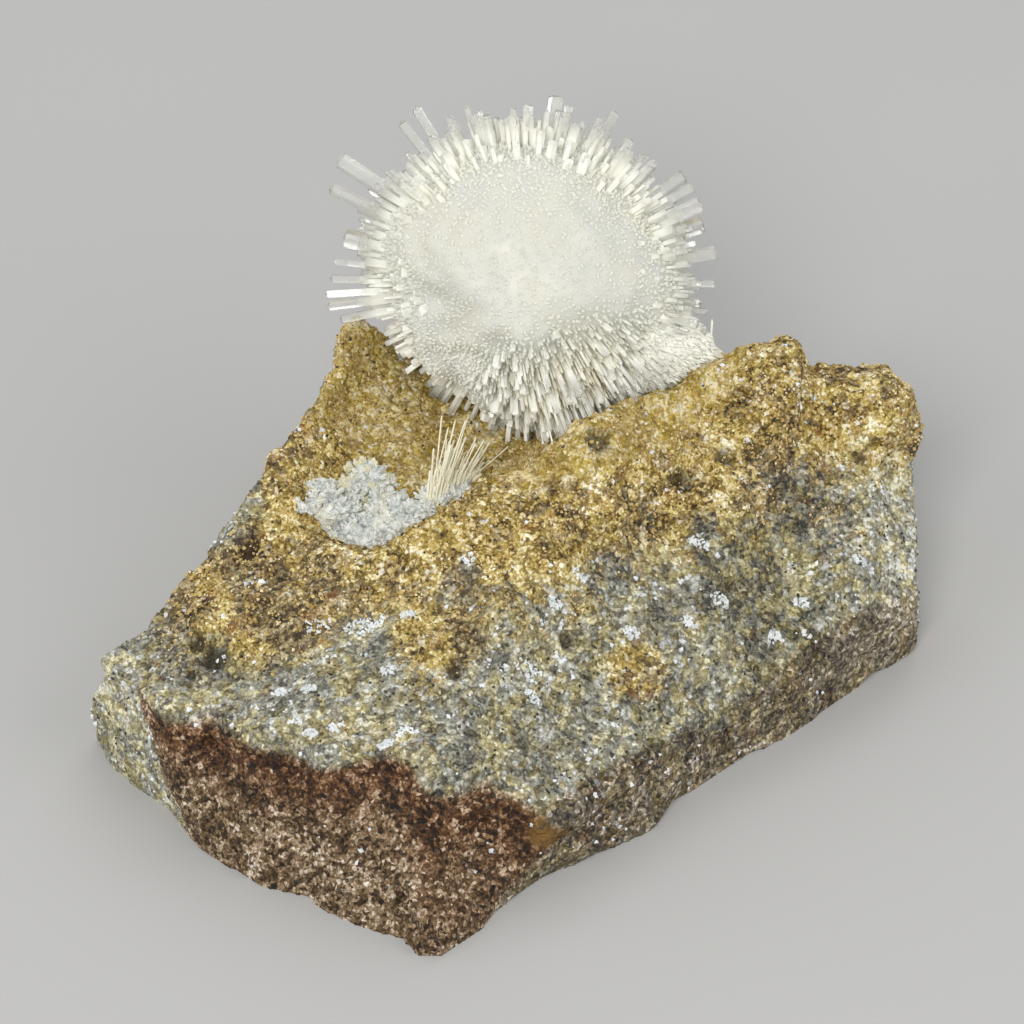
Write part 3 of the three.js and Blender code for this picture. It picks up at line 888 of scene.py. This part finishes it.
class CrystalGrowth:
    """The tree that stands one crystal on each seed, and the crystal shapes that it stands."""

    TREE = "crystal_growth"

    @classmethod
    def tree(cls) -> bpy.types.NodeTree:
        """Builds the tree, or returns it if it is there."""
        if cls.TREE in bpy.data.node_groups:
            return bpy.data.node_groups[cls.TREE]
        sheet = GeometrySheet(cls.TREE, {
            "Seeds": "Geometry", "Shape": "Object", "Seed": "Int", "Finish": "Material"})
        width = sheet.named("width")
        upright = sheet.add("FunctionNodeAlignRotationToVector", {"axis": "Z"}, {
            "Vector": sheet.named("aim", "FLOAT_VECTOR")})
        spin = sheet.add("ShaderNodeCombineXYZ", {}, {"Z": sheet.random("FLOAT", 0.0, math.tau)})
        turned = sheet.add("FunctionNodeRotateRotation", {"rotation_space": "LOCAL"}, {
            "Rotation": upright, "Rotate By": sheet.add("FunctionNodeEulerToRotation", {}, {0: spin})})
        size = sheet.add("ShaderNodeCombineXYZ", {}, {"X": width, "Y": width, "Z": sheet.named("length")})
        return sheet.stood(sheet.given("Seeds"), turned, size)

    @staticmethod
    def prism(name: str, tip: float, root: float) -> bpy.types.Object:
        """Makes a square crystal one unit long and one unit across its corners, closed at both ends.

        Args:
            name: the object's name.
            tip: the share of the length that the end's pyramid takes.
            root: how wide the foot is beside the shoulder.

        Returns:
            The crystal, standing on the origin.
        """
        diagonal, slim = math.sqrt(0.5), 0.7
        rings = [(0.0, diagonal * root * slim), (1 - tip, diagonal * slim)]
        points = [(r * math.cos(a), r * math.sin(a), z) for z, r in rings for a in
                  (math.radians(45 + 90 * i) for i in range(4))]
        points.append((0.0, 0.0, 1.0))
        sides = [(i, (i + 1) % 4, 4 + (i + 1) % 4, 4 + i) for i in range(4)]
        ends = [(3, 2, 1, 0)] + [(4 + i, 4 + (i + 1) % 4, 8) for i in range(4)]
        return mesh_object(name, points, sides + ends)

    @classmethod
    def grow(cls, seeds: Seeds, name: str, material: bpy.types.Material, tip: float,
             root: float = 0.8) -> bpy.types.Object:
        """Grows the crystals of some seeds into one piece.

        Args:
            seeds: where and how large.
            name: the piece's name.
            material: its finish.
            tip: the share of the length that the end's pyramid takes.
            root: how wide the foot is beside the shoulder.

        Returns:
            The piece.
        """
        shape = cls.prism(f"{name}_shape", tip, root)
        carrier = seeds.carrier(f"{name}_seeds")
        add_tree(carrier, cls.tree(), {"Shape": shape, "Seed": len(seeds.roots), "Finish": material})
        piece = settled(carrier, name, material)
        bpy.data.objects.remove(shape)
        return piece


@dataclass
class Matrix:
    """The chunk of basalt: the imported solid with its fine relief, on which everything else is placed."""

    plates: float = 0.5 * MM
    pits: float = 0.5 * MM
    welded_within: float = 0.002 * MM
    headroom: float = 0.01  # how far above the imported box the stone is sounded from
    skin: bpy.types.Object | None = None
    tree: BVHTree | None = None

    def build(self) -> None:
        """Makes the stone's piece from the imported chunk."""
        rough = linked("chunk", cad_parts["basalt_matrix"].data.copy())
        rough.modifiers.new("weld", "WELD").merge_threshold = self.welded_within
        even_skin(rough, StoneRelief.VOXEL)
        add_tree(rough, StoneRelief.tree(), {"Plates": self.plates, "Pits": self.pits})
        self.skin = settled(rough, "basalt_chunk", StoneFinish().build())
        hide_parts("basalt_matrix")
        mesh = self.skin.data
        self.tree = BVHTree.FromPolygons([v.co for v in mesh.vertices], [p.vertices for p in mesh.polygons])

    def floor_under(self, spot: Vector) -> Vector:
        """The stone's surface straight below a point of the plan."""
        start = Vector((spot.x, spot.y, CAD_BOX[1].z + self.headroom))
        return self.tree.ray_cast(start, Vector((0, 0, -1)))[0]

    def room_towards(self, start: Vector, aim: Vector, reach: float) -> float:
        """How far one can go from a point before the stone, at most reach."""
        hit = self.tree.ray_cast(start, aim, reach)
        return reach if hit[0] is None else hit[3]


@dataclass
class GrainCrop:
    """One tone of loose grains strewn over the stone."""

    stone: Matrix
    tone: GrainTone
    per_square_mm: float
    smallest: float  # mm, as the next
    largest: float
    seed: int

    def zone(self, sheet: NodeSheet, position: Wire) -> Wire:
        """How thickly the grains lie, from 0 to 1.

        Args:
            sheet: the tree to build in.
            position: the surface point.

        Returns:
            The share of the full density.
        """
        patchy = sheet.smooth(sheet.noise(position, 1.7, 3.0, 0.6), 0.4, 0.6)
        stained = sheet.named("stained")
        off_floor = sheet.named("above_floor")
        if self.tone is GrainTone.STAINED:
            return stained * (0.15 + 0.85 * patchy) * off_floor
        if self.tone is GrainTone.PALE:
            sheltered = (1 - sheet.named("scoop") * 0.88) * (1 - sheet.named("bevel") * 0.6)
            return sheet.named("strewn") * (1 - 0.7 * stained) * sheltered * off_floor
        return (1 - 0.6 * stained) * patchy * off_floor

    def tree(self) -> bpy.types.NodeTree:
        """Builds the tree that strews the grains over the stone's surface."""
        sheet = GeometrySheet(self.tone.value, {
            "Stone": "Geometry", "Density": "Float", "Smallest": "Float", "Largest": "Float",
            "Shape": "Object", "Seed": "Int", "Finish": "Material"})
        density = sheet.given("Density") * self.zone(sheet, sheet.add("GeometryNodeInputPosition"))
        strewn = sheet.add("GeometryNodeDistributePointsOnFaces", {}, {
            "Mesh": sheet.given("Stone"), "Density": density, "Seed": sheet.given("Seed")})
        turn = sheet.random("FLOAT_VECTOR", (0, 0, 0), (math.tau,) * 3)
        uneven = sheet.random("FLOAT_VECTOR", (0.55,) * 3, (1.25,) * 3)
        size = sheet.random("FLOAT", sheet.given("Smallest"), sheet.given("Largest"))
        return sheet.stood(strewn, turn, sheet.scaled(uneven, size))

    def build(self) -> None:
        """Strews the grains and makes them a piece."""
        ground = linked("ground", self.stone.skin.data.copy())
        material = GRAIN_FINISHES[self.tone].build()
        shard = self.shard()
        add_tree(ground, self.tree(), {
            "Density": self.per_square_mm / MM ** 2, "Smallest": self.smallest * MM,
            "Largest": self.largest * MM, "Shape": shard, "Seed": self.seed, "Finish": material})
        piece = settled(ground, self.tone.value, material)
        bpy.data.objects.remove(shard)

    def shard(self) -> bpy.types.Object:
        """Makes an uneven eight-faced grain about one unit wide."""
        points = [(0.5, 0.08, 0), (-0.06, 0.46, 0.05), (-0.5, -0.05, 0.1), (0.1, -0.5, -0.06),
                  (0.06, 0, 0.5), (-0.05, 0.04, -0.5)]
        belt = [(i, (i + 1) % 4) for i in range(4)]
        faces = [(a, b, 4) for a, b in belt] + [(b, a, 5) for a, b in belt]
        return mesh_object(f"{self.tone.value}_shape", points, faces)


# The long glassy prisms that stand out round the ball's outline:
# degrees round the ball, how far the tip stands from its centre in mm, and the prism's width in mm
RIM_PRISMS = (
    (146.5, 10.2, 0.85), (154.5, 9.9, 0.6), (127.5, 9.4, 0.55), (122, 9.4, 0.52),
    (115, 8.3, 0.4), (108.5, 8.6, 0.36), (105, 8.1, 0.3), (89.5, 8.1, 0.36),
    (80.5, 8.8, 0.7), (76, 8.3, 0.45), (65, 8.3, 0.38), (62, 9.0, 0.45),
    (53.5, 8.1, 0.54), (43, 8.1, 0.5), (34, 8.9, 0.72), (29.5, 8.8, 0.6),
    (24, 8.8, 0.72), (18.5, 8.7, 0.76), (9, 8.8, 0.68), (-0.5, 8.7, 0.42),
    (-9, 8.5, 0.38), (166, 8.5, 0.85), (174, 8.8, 0.38), (178.5, 9.0, 0.43),
    (183.5, 9.1, 0.47), (187, 9.1, 0.43), (191, 8.7, 0.5),
)


@dataclass(frozen=True)
class Layer:
    """One layer of crystals round the ball; lengths are in mm."""

    count: int
    depth: float  # how far under the milky surface they are rooted
    rise: tuple  # how far over it they end; those of a layer that starts above 0 stand free
    width: tuple
    jitter: float  # how far each direction strays
    bias: float  # above 1, most are short
    calm: float  # how much of the rise is missing on the display side, where the ball is smooth


@dataclass(frozen=True)
class Side:
    """A side of the ball, which fades in from a far to a near cosine."""

    towards: Vector
    far: float
    near: float

    def share(self, aim: Vector) -> float:
        """A soft step from 0 to 1 as a direction comes near the side."""
        step = min(max((aim.dot(self.towards) - self.far) / (self.near - self.far), 0.0), 1.0)
        return step * step * (3 - 2 * step)


@dataclass
class NatroliteBall:
    """The ball of radiating prisms with its grown-in lobe; sizes are in mm from the ball's centre."""

    stone: Matrix
    milky: float = 6.95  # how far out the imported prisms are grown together
    knob: float = 0.22  # height of the milky mass's unevenness, and how many knobs a radian has
    knob_turns: float = 4.6
    crown: Side = Side(seen_from_front(84, -0.3), 0.0, 0.5)  # the upper rim, with the longest free prisms
    crown_drop: float = 0.55  # how much lower the milky mass ends there
    packed: Layer = Layer(13000, 0.6, (0.0, 0.3), (0.11, 0.22), 0.02, 1.0, 0.74)
    standing: Layer = Layer(3000, 0.6, (0.1, 1.3), (0.14, 0.36), 0.09, 1.4, 0.9)
    bold: Layer = Layer(480, 0.9, (0.5, 1.75), (0.22, 0.6), 0.12, 1.5, 0.92)
    least_rise: float = 0.14  # a free prism that would be shorter is left out
    thinned: float = 0.85  # the share of the free prisms that is left out where the ball is smoothest
    rim_root: float = 6.0
    lobe_rise: float = 3.1  # how far the lobe's tip stands out of the ball
    lobe_spread: float = 37.0  # degrees from the lobe's middle to its edge
    lobe_pinch: float = 1.5  # how much steeper it falls on its upper side
    lobe_fibres: int = 5200
    lobe_width: tuple = (0.1, 0.2)
    # Loose needles on the lobe's tip: how far out the foot is, degrees round the outline, and length
    lobe_needles: tuple = ((9.2, 86, 1.7), (9.0, 92, 1.3), (9.45, 97, 1.0), (8.7, 82, 1.1))
    lobe_needle_width: float = 0.12
    display: Side = Side(VIEWER, 0.05, 0.75)  # the smooth side
    # Where the ball meets the vug's wall: there it is less full, more knobbly, and its prisms are short
    wall: Side = Side(seen_from_front(224, 0.3), 0.5, 0.95)
    wall_knobs: Side = Side(seen_from_front(224, 0.3), 0.3, 0.8)
    wall_calm: Side = Side(seen_from_front(236, 0.35), 0.62, 0.85)
    ragged: Side = Side(seen_from_front(292, 0.45), 0.62, 0.95)  # where the sides of the fibres show
    ragged_depth: float = 0.9  # how far they differ in length there
    combed: float = 0.75  # how far they lean outwards there
    combed_towards: float = 292.0  # degrees round the outline
    bite: float = 0.3  # how far a crystal may go into the stone
    shortest: float = 0.2
    heart_detail: int = 6
    rng: random.Random = field(default_factory=lambda: random.Random(7))

    def calmness(self, aim: Vector) -> float:
        """How smooth the ball is in a direction, from 0 to 1: on its display side and by the wall."""
        return max(self.display.share(aim), self.wall_calm.share(aim)) * (1 - self.ragged.share(aim))

    def surface(self, aim: Vector) -> float:
        """How far out the milky mass ends in a direction."""
        knobs = noise.noise(aim * self.knob_turns) * self.knob * (1 + 2.2 * self.wall_knobs.share(aim))
        fullness = 1 - 0.2 * self.wall.share(aim)
        return (self.milky + knobs) * fullness - self.crown_drop * self.crown.share(aim)

    def lobe_reach(self, aim: Vector) -> float:
        """How far the lobe stands out of the ball in a direction."""
        ridge = (LOBE_CENTRE - BALL_CENTRE).normalized()
        off = math.degrees(aim.angle(ridge))
        upwards = max(0.0, (aim - ridge).normalized().dot(seen_from_front(90, 0)))
        off *= 1 + self.lobe_pinch * upwards
        return self.lobe_rise * max(0.0, 1 - off / self.lobe_spread) ** 1.5

    def aims(self, count: int, jitter: float) -> list[Vector]:
        """Directions spread over a sphere, a little at random.

        Args:
            count: how many.
            jitter: how far each may stray.

        Returns:
            Unit vectors.
        """
        out = []
        for i in range(count):
            z = 1 - (2 * i + 1) / count
            turn = i * math.pi * (3 - math.sqrt(5))
            flat = math.sqrt(1 - z * z)
            stray = astray(self.rng, jitter)
            out.append((Vector((flat * math.cos(turn), flat * math.sin(turn), z)) + stray).normalized())
        return out

    def layer(self, made: Layer) -> Seeds:
        """Seeds of one layer of crystals round the ball.

        Args:
            made: what the layer is like.

        Returns:
            The seeds.
        """
        seeds = Seeds()
        lowest, highest = made.rise
        outwards = seen_from_front(self.combed_towards, 0)
        for aim in self.aims(made.count, made.jitter):
            ragged = self.ragged.share(aim)
            base = self.surface(aim)
            smooth = 1 - made.calm * self.calmness(aim)
            rising = (lowest + (highest - lowest) * self.rng.random() ** made.bias) * smooth
            if lowest > 0:
                if rising < self.least_rise or self.rng.random() < self.thinned * self.calmness(aim) ** 0.7:
                    continue
                rising += self.crown_drop * self.crown.share(aim) * self.rng.random()
            far = base + rising
            far -= self.ragged_depth * ragged * self.rng.random()
            root = BALL_CENTRE + aim * (base - made.depth - self.ragged_depth * ragged) * MM
            wide = self.rng.uniform(*made.width) * (1 - 0.3 * ragged) * MM
            length = far * MM - (root - BALL_CENTRE).length
            leaning = (aim + outwards * self.combed * ragged).normalized()
            length = min(length, self.stone.room_towards(root, leaning, length) + self.bite * MM)
            if leaning.z > 0:
                length = min(length, (CEILING - root.z) / leaning.z)
            if length > self.shortest * MM:
                seeds.plant(root, leaning, length, wide)
        return seeds

    def lobe_layer(self) -> Seeds:
        """Seeds of the lobe's fibres, which fan out of the ball."""
        seeds = Seeds()
        cap = (1 - math.cos(math.radians(self.lobe_spread))) / 2
        for aim in self.aims(round(self.lobe_fibres / cap), 0.01):
            rise = self.lobe_reach(aim)
            if rise <= 0:
                continue
            base = self.surface(aim)
            far = (base + rise * self.rng.uniform(0.96, 1.0) + 0.35 * self.rng.random() ** 8) * MM
            root = (base + rise * 0.6 - 1.2) * MM
            far = min(far, self.stone.room_towards(BALL_CENTRE, aim, far) + self.bite * MM)
            if far - root > self.shortest * MM:
                wide = self.rng.uniform(*self.lobe_width) * MM
                seeds.plant(BALL_CENTRE + aim * root, aim, far - root, wide)
        ridge = (LOBE_CENTRE - BALL_CENTRE).normalized()
        for along, degrees, length in self.lobe_needles:
            aim = seen_from_front(degrees, -0.3)
            seeds.plant(BALL_CENTRE + ridge * along * MM, aim, length * MM, self.lobe_needle_width * MM)
        return seeds

    def build(self) -> None:
        """Grows the ball's and the lobe's pieces."""
        creamy = BALL_CENTRE + self.ragged.towards * self.milky * MM
        ball = CrystalFinish("natrolite_prisms", BALL_CENTRE, 7.3 * MM, 8.1 * MM, creamy_spot=creamy).build()
        bright = {"clearest": 0.8, "tint": (0.92, 0.925, 0.86), "warm": (0.93, 0.9, 0.76)}
        free = CrystalFinish("natrolite_free_prisms", BALL_CENTRE, 6.8 * MM, 8.0 * MM, **bright).build()
        lobe = CrystalFinish("natrolite_lobe_prisms", BALL_CENTRE, 9.7 * MM, 11.0 * MM, **bright).build()
        mass = CrystalFinish("natrolite_mass", BALL_CENTRE, 12 * MM, 13 * MM, clearest=0.0,
                             tint=(0.685, 0.691, 0.633), warm=(0.74, 0.715, 0.59), soft=0.6,
                             creamy_spot=creamy).build()
        piece = CrystalGrowth.grow(self.layer(self.packed), "natrolite_packed_prisms", ball, 0.12)
        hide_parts("natrolite_ball")
        standing = self.layer(self.standing)
        piece = CrystalGrowth.grow(standing, "natrolite_standing_prisms", free, 0.05, root=0.95)
        bold = self.layer(self.bold)
        for i, (degrees, reach, width) in enumerate(RIM_PRISMS):
            aim = seen_from_front(degrees, 0.16 * math.sin(i * 2.1))
            root = BALL_CENTRE + aim * self.rim_root * MM
            bold.plant(root, aim, (reach - self.rim_root) * MM, width * MM)
        CrystalGrowth.grow(bold, "natrolite_long_prisms", free, 0.04, root=0.95)
        CrystalGrowth.grow(self.lobe_layer(), "natrolite_lobe", lobe, 0.1)
        self.build_heart("natrolite_heart", mass, 0.0)
        self.build_heart("natrolite_lobe_heart", mass, 0.98)

    def build_heart(self, name: str, material: bpy.types.Material, lobe_share: float) -> None:
        """Makes the milky mass in which the prisms' feet are grown together.

        Args:
            name: the piece's name.
            material: the mass's finish.
            lobe_share: how much of the lobe it fills; above 0 it stays inside the ball elsewhere.
        """
        bpy.ops.mesh.primitive_ico_sphere_add(subdivisions=self.heart_detail, radius=1.0)
        heart = bpy.context.active_object
        for vertex in heart.data.vertices:
            aim = vertex.co.normalized()
            size = self.surface(aim) - self.ragged_depth * self.ragged.share(aim) - 0.08
            size += 0.04 * self.calmness(aim)
            if lobe_share:
                size += lobe_share * self.lobe_reach(aim) - 0.05
            vertex.co = BALL_CENTRE + aim * size * MM
        settled(heart, name, material)


@dataclass
class VugDruse:
    """The crust on the vug's floor and the sheaf of needles that grows out of it; sizes are in mm."""

    stone: Matrix
    # Mounds of the crust: plan place and radius in mm from the stone's corner
    mounds: tuple = (
        (-5.1, 20.8, 0.5), (-4.5, 21.9, 0.6), (-4.0, 21.4, 0.75), (-3.4, 22.2, 0.7), (-3.5, 20.7, 0.75),
        (-2.7, 21.5, 0.8), (-2.9, 19.9, 0.6), (-2.0, 22.2, 0.7), (-1.8, 21.1, 0.75), (-1.1, 21.8, 0.65),
        (-0.9, 20.6, 0.5), (-0.2, 21.3, 0.55), (0.3, 21.9, 0.5), (0.7, 22.6, 0.4), (-2.1, 20.2, 0.6),
        (-4.4, 20.7, 0.55), (-3.4, 22.9, 0.5), (-2.7, 23.1, 0.5), (-2.0, 22.9, 0.5), (0.1, 21.2, 0.5),
        (0.8, 21.9, 0.5), (1.3, 22.5, 0.45), (1.8, 23.2, 0.35), (-1.4, 22.6, 0.45), (-2.6, 19.3, 0.55),
        (-2.1, 19.5, 0.5), (-3.1, 19.5, 0.5), (1.3, 21.9, 0.4), (1.8, 22.5, 0.4), (-3.0, 23.5, 0.45),
        (-2.3, 23.5, 0.45), (-1.7, 23.3, 0.4),
    )
    # Pale yellow blocks at the back of the crust, and white rosettes round it
    honey: tuple = ((-3.6, 23.1, 0.4), (-3.1, 23.4, 0.45), (-2.5, 23.5, 0.45), (-1.9, 23.3, 0.4),
                    (-2.9, 22.9, 0.45), (-2.2, 23.0, 0.4), (-3.7, 22.7, 0.35), (-2.6, 22.5, 0.3),
                    (-3.4, 23.5, 0.4), (-2.9, 23.8, 0.4), (-2.4, 23.8, 0.4), (-1.9, 23.6, 0.35))
    rosettes: tuple = ((-5.5, 20.2, 0.4), (-5.0, 21.6, 0.42), (-4.7, 22.2, 0.4), (-4.2, 22.7, 0.42),
                       (-3.6, 19.9, 0.4), (-1.2, 20.1, 0.38), (-0.4, 20.7, 0.35), (-2.5, 19.5, 0.45))
    # The sheaf's feet, along a line on the floor, and how far they stray from it
    sheaf_start: tuple = (0.4, 21.6)
    sheaf_end: tuple = (2.0, 23.6)
    sheaf_stray: float = 0.3
    sheaf_middle: tuple = (0.9, 22.2)
    tallest: tuple = (5.3, 2.6)  # the tallest needle at the start and at the end
    needles: int = 60
    needle_width: tuple = (0.05, 0.1)
    stubs: int = 420  # the milky feet of the sheaf
    stub_width: tuple = (0.08, 0.17)
    off_ball: float = 7.1  # how near a needle's tip may come to the ball's centre
    crystals: int = 2400
    crystal_size: tuple = (0.1, 0.42)
    rosette_crystals: int = 70
    rosette_width: float = 0.16
    honey_crystals: int = 9
    voxel: float = 0.1
    rng: random.Random = field(default_factory=lambda: random.Random(21))

    def on_floor(self, x: float, y: float) -> Vector:
        """The stone's surface at a plan place in mm from its corner."""
        return self.stone.floor_under(place(x, y, 0))

    def build(self) -> None:
        """Makes the crust, its crystals and the sheaf."""
        crust = self.build_crust(CrustFinish().build())
        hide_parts("vug_druse")
        self.build_crystals(crust)
        self.build_honey()
        self.build_sheaf()

    def build_crystals(self, crust: bpy.types.Object) -> None:
        """Grows the small crystals of the crust and the rosettes round it.

        Args:
            crust: the finished crust.
        """
        seeds = Seeds()
        vertices = crust.data.vertices
        for _ in range(self.crystals):
            vertex = vertices[self.rng.randrange(len(vertices))]
            if vertex.normal.z < -0.1:
                continue
            size = self.rng.uniform(*self.crystal_size) * MM
            aim = (vertex.normal + astray(self.rng, 0.9)).normalized()
            seeds.plant(vertex.co - aim * size * 0.4, aim, size * 1.5, size * self.rng.uniform(0.4, 0.9))
        for x, y, radius in self.rosettes:
            middle = self.on_floor(x, y)
            for _ in range(self.rosette_crystals):
                aim = upward(self.rng)
                length = radius * self.rng.uniform(0.8, 1.1) * MM
                seeds.plant(middle, aim, length, self.rosette_width * MM)
        sugar = CrustFinish("druse_sugar", (0.6, 0.645, 0.64), (0.84, 0.85, 0.8), soft=0.0).build()
        CrystalGrowth.grow(seeds, "druse_crystals", sugar, 0.25, root=0.9)

    def build_honey(self) -> None:
        """Grows the pale yellow blocks."""
        honey = Seeds()
        for x, y, size in self.honey:
            middle = self.on_floor(x, y)
            for _ in range(self.honey_crystals):
                aim = Vector((self.rng.uniform(-1, 1), self.rng.uniform(-1.2, 0.3), 1)).normalized()
                wide = size * self.rng.uniform(0.4, 0.8) * MM
                honey.plant(middle - aim * 0.1 * MM, aim, wide * 1.5 + 0.2 * MM, wide)
        pale = CrystalFinish("honey_zeolite", BALL_CENTRE, 9.0 * MM, 13.0 * MM, clearest=0.2,
                             tint=(0.86, 0.83, 0.62), warm=(0.84, 0.78, 0.5)).build()
        CrystalGrowth.grow(honey, "honey_crystals", pale, 0.25, root=1.0)

    def build_crust(self, material: bpy.types.Material) -> bpy.types.Object:
        """Makes the crust's body from its mounds.

        Args:
            material: the crust's finish.

        Returns:
            The crust.
        """
        lumps = []
        for x, y, radius in self.mounds:
            spot = self.on_floor(x, y) - Vector((0, 0, radius * 0.25 * MM))
            bpy.ops.mesh.primitive_ico_sphere_add(subdivisions=3, radius=radius * MM, location=spot)
            lumps.append(bpy.context.active_object)
        body = lumps[0]
        with bpy.context.temp_override(
                active_object=body, object=body, selected_editable_objects=lumps, selected_objects=lumps):
            bpy.ops.object.join()
        body.data.transform(body.matrix_world)
        body.matrix_world.identity()
        even_skin(body, self.voxel * MM)
        add_tree(body, self.crust_relief(), {"Height": 0.5 * MM})
        return settled(body, "druse_crust", material)

    def crust_relief(self) -> bpy.types.NodeTree:
        """Builds the tree that makes the crust knobbly."""
        sheet = GeometrySheet("crust_relief", {"Skin": "Geometry", "Height": "Float"})
        position = sheet.add("GeometryNodeInputPosition")
        knobs = (0.5 - sheet.cells(position, 0.5).output("Distance")) * 0.7
        swell = sheet.noise(position, 0.9, 3.0, 0.6) - 0.5
        normal = sheet.add("GeometryNodeInputNormal")
        move = sheet.scaled(normal, (knobs + swell) * sheet.given("Height"))
        return sheet.pushed(sheet.given("Skin"), {"Offset": move})

    def build_sheaf(self) -> None:
        """Grows the needles, from the tallest at the front of the sheaf to the shortest at its back."""
        sheaf = Seeds()
        stray = (-self.sheaf_stray, self.sheaf_stray)
        for i in range(self.needles + self.stubs):
            share = self.rng.random()
            x, y = (start + (end - start) * share for start, end in zip(self.sheaf_start, self.sheaf_end))
            root = self.on_floor(x + self.rng.uniform(*stray), y + self.rng.uniform(*stray))
            aim = seen_from_front(82 - 36 * share + self.rng.uniform(-7, 7), self.rng.uniform(0.0, 0.5))
            tallest = self.tallest[0] - (self.tallest[0] - self.tallest[1]) * share
            if i < self.needles:
                reach = tallest * (1.0 if i % 8 == 0 else self.rng.uniform(0.35, 0.75))
                width = self.rng.uniform(*self.needle_width)
            else:
                reach = tallest * self.rng.uniform(0.12, 0.36)
                width = self.rng.uniform(*self.stub_width)
            length = reach * MM
            while (root + aim * length - BALL_CENTRE).length < self.off_ball * MM:
                length -= 0.1 * MM
            sheaf.plant(root - aim * 0.2 * MM, aim, length, width * MM)
        foot = self.on_floor(*self.sheaf_middle)
        finish = CrystalFinish("natrolite_needles", foot, 2.6 * MM, 6.5 * MM, clearest=0.3,
                               tint=(0.91, 0.88, 0.72), warm=(0.87, 0.83, 0.62)).build()
        CrystalGrowth.grow(sheaf, "needle_spray", finish, 0.04, root=0.95)


@dataclass
class ZeoliteSpecks:
    """Patches of tiny white crystals on the display face; sizes are in mm."""

    stone: Matrix
    patches: tuple = ZEOLITE_PATCHES
    per_patch: int = 34
    crystal: tuple = (0.07, 0.2)
    stretch: float = 1.5  # how much longer a patch is along the face than up it
    rng: random.Random = field(default_factory=lambda: random.Random(33))

    def build(self) -> None:
        """Grows the patches."""
        seeds = Seeds()
        for x, y, radius in self.patches:
            for _ in range(self.per_patch):
                turn = self.rng.uniform(0, math.tau)
                out = radius * math.sqrt(self.rng.random())
                where = place(x + self.stretch * out * math.cos(turn), y + out * math.sin(turn), 0)
                aim = upward(self.rng)
                size = self.rng.uniform(*self.crystal) * MM
                root = self.stone.floor_under(where) - aim * size * 0.5
                seeds.plant(root, aim, size * 1.4, size * self.rng.uniform(0.5, 1.0))
        finish = CrustFinish("zeolite_specks", (0.62, 0.665, 0.68), (0.85, 0.875, 0.87), honey_share=0.0,
                             soft=0.0).build()
        CrystalGrowth.grow(seeds, "zeolite_specks", finish, 0.2, root=1.0)


@dataclass
class PhotoView:
    """The camera, which looks along +Y and down on the display face."""

    distance: float = 0.32
    pixels_per_mm: float = 23.0
    picture: int = 1024
    corner_pixel: tuple = (420, 955)  # where the stone's front bottom corner shows
    sensor: float = 36.0

    def build(self) -> None:
        """Makes the scene's camera."""
        across, below = ((pixel - self.picture / 2) / self.pixels_per_mm * MM for pixel in self.corner_pixel)
        target = place(0, 0, 0) - Vector((across, 0, 0)) + VIEW_UP * below
        data = bpy.data.cameras.new("camera")
        data.sensor_width = self.sensor
        data.lens = self.sensor * self.distance / (self.picture / self.pixels_per_mm * MM)
        data.clip_start = 0.01
        data.clip_end = 10.0
        camera = linked("camera", data)
        camera.location = target + VIEWER * self.distance
        camera.rotation_euler = (math.pi / 2 - VIEW_ELEVATION, 0, 0)
        bpy.context.scene.camera = camera


@dataclass
class Studio:
    """A plain pale floor and soft lights."""

    # Each light's name, place, side length, power and colour
    lights: tuple = (
        ("key", (-0.063, -0.3, 0.285), 0.16, 0.92, (1.0, 0.985, 0.96)),
        ("right", (0.3, -0.14, 0.2), 0.36, 0.55, (1.0, 0.99, 0.97)),
        ("left", (-0.34, -0.1, 0.15), 0.4, 0.56, (1.0, 0.99, 0.98)),
        ("back", (0.02, 0.3, 0.26), 0.3, 0.42, (1.0, 1.0, 1.0)),
    )
    aimed_at: tuple = (0, 0, 0.008)
    world: float = 0.42
    half_floor: float = 0.9

    def build(self) -> None:
        """Makes the floor, the lights and the world."""
        half = self.half_floor
        corners = [(-half, -half, 0), (half, -half, 0), (half, half, 0), (-half, half, 0)]
        floor = mesh_object("floor", corners, [(0, 1, 2, 3)])
        finish = Finish("pale_floor")
        cloud = finish.sheet.noise(finish.position, 40.0, 2.0)
        floor.data.materials.append(finish.finished(finish.shader({
            "Base Color": finish.sheet.mix(cloud, (0.44, 0.44, 0.435), (0.47, 0.47, 0.465)),
            "Roughness": 0.85,
        })))
        for name, where, size, power, colour in self.lights:
            data = bpy.data.lights.new(name, "AREA")
            data.size = size
            data.energy = power
            data.color = colour
            lamp = linked(name, data)
            lamp.location = where
            lamp.rotation_euler = (Vector(self.aimed_at) - lamp.location).to_track_quat("-Z", "Y").to_euler()
        world = bpy.data.worlds.new("soft_room")
        world.use_nodes = True
        world.node_tree.nodes["Background"].inputs["Color"].default_value = (1, 1, 1, 1)
        world.node_tree.nodes["Background"].inputs["Strength"].default_value = self.world
        bpy.context.scene.world = world
        bpy.context.scene.view_settings.view_transform = "Standard"


def main() -> None:
    """Builds the view, the stone, what grows on it and the studio, in that order."""
    logging.basicConfig(level=logging.INFO, format="%(message)s")
    PhotoView().build()
    stone = Matrix()
    stone.build()
    for thing in (
        GrainCrop(stone, GrainTone.STAINED, 26.0, 0.1, 0.26, 3),
        GrainCrop(stone, GrainTone.PALE, 4.0, 0.12, 0.34, 4),
        GrainCrop(stone, GrainTone.DARK, 4.0, 0.08, 0.24, 5),
        ZeoliteSpecks(stone),
        NatroliteBall(stone),
        VugDruse(stone),
        Studio(),
    ):
        thing.build()


if __name__ == "__main__":
    main()
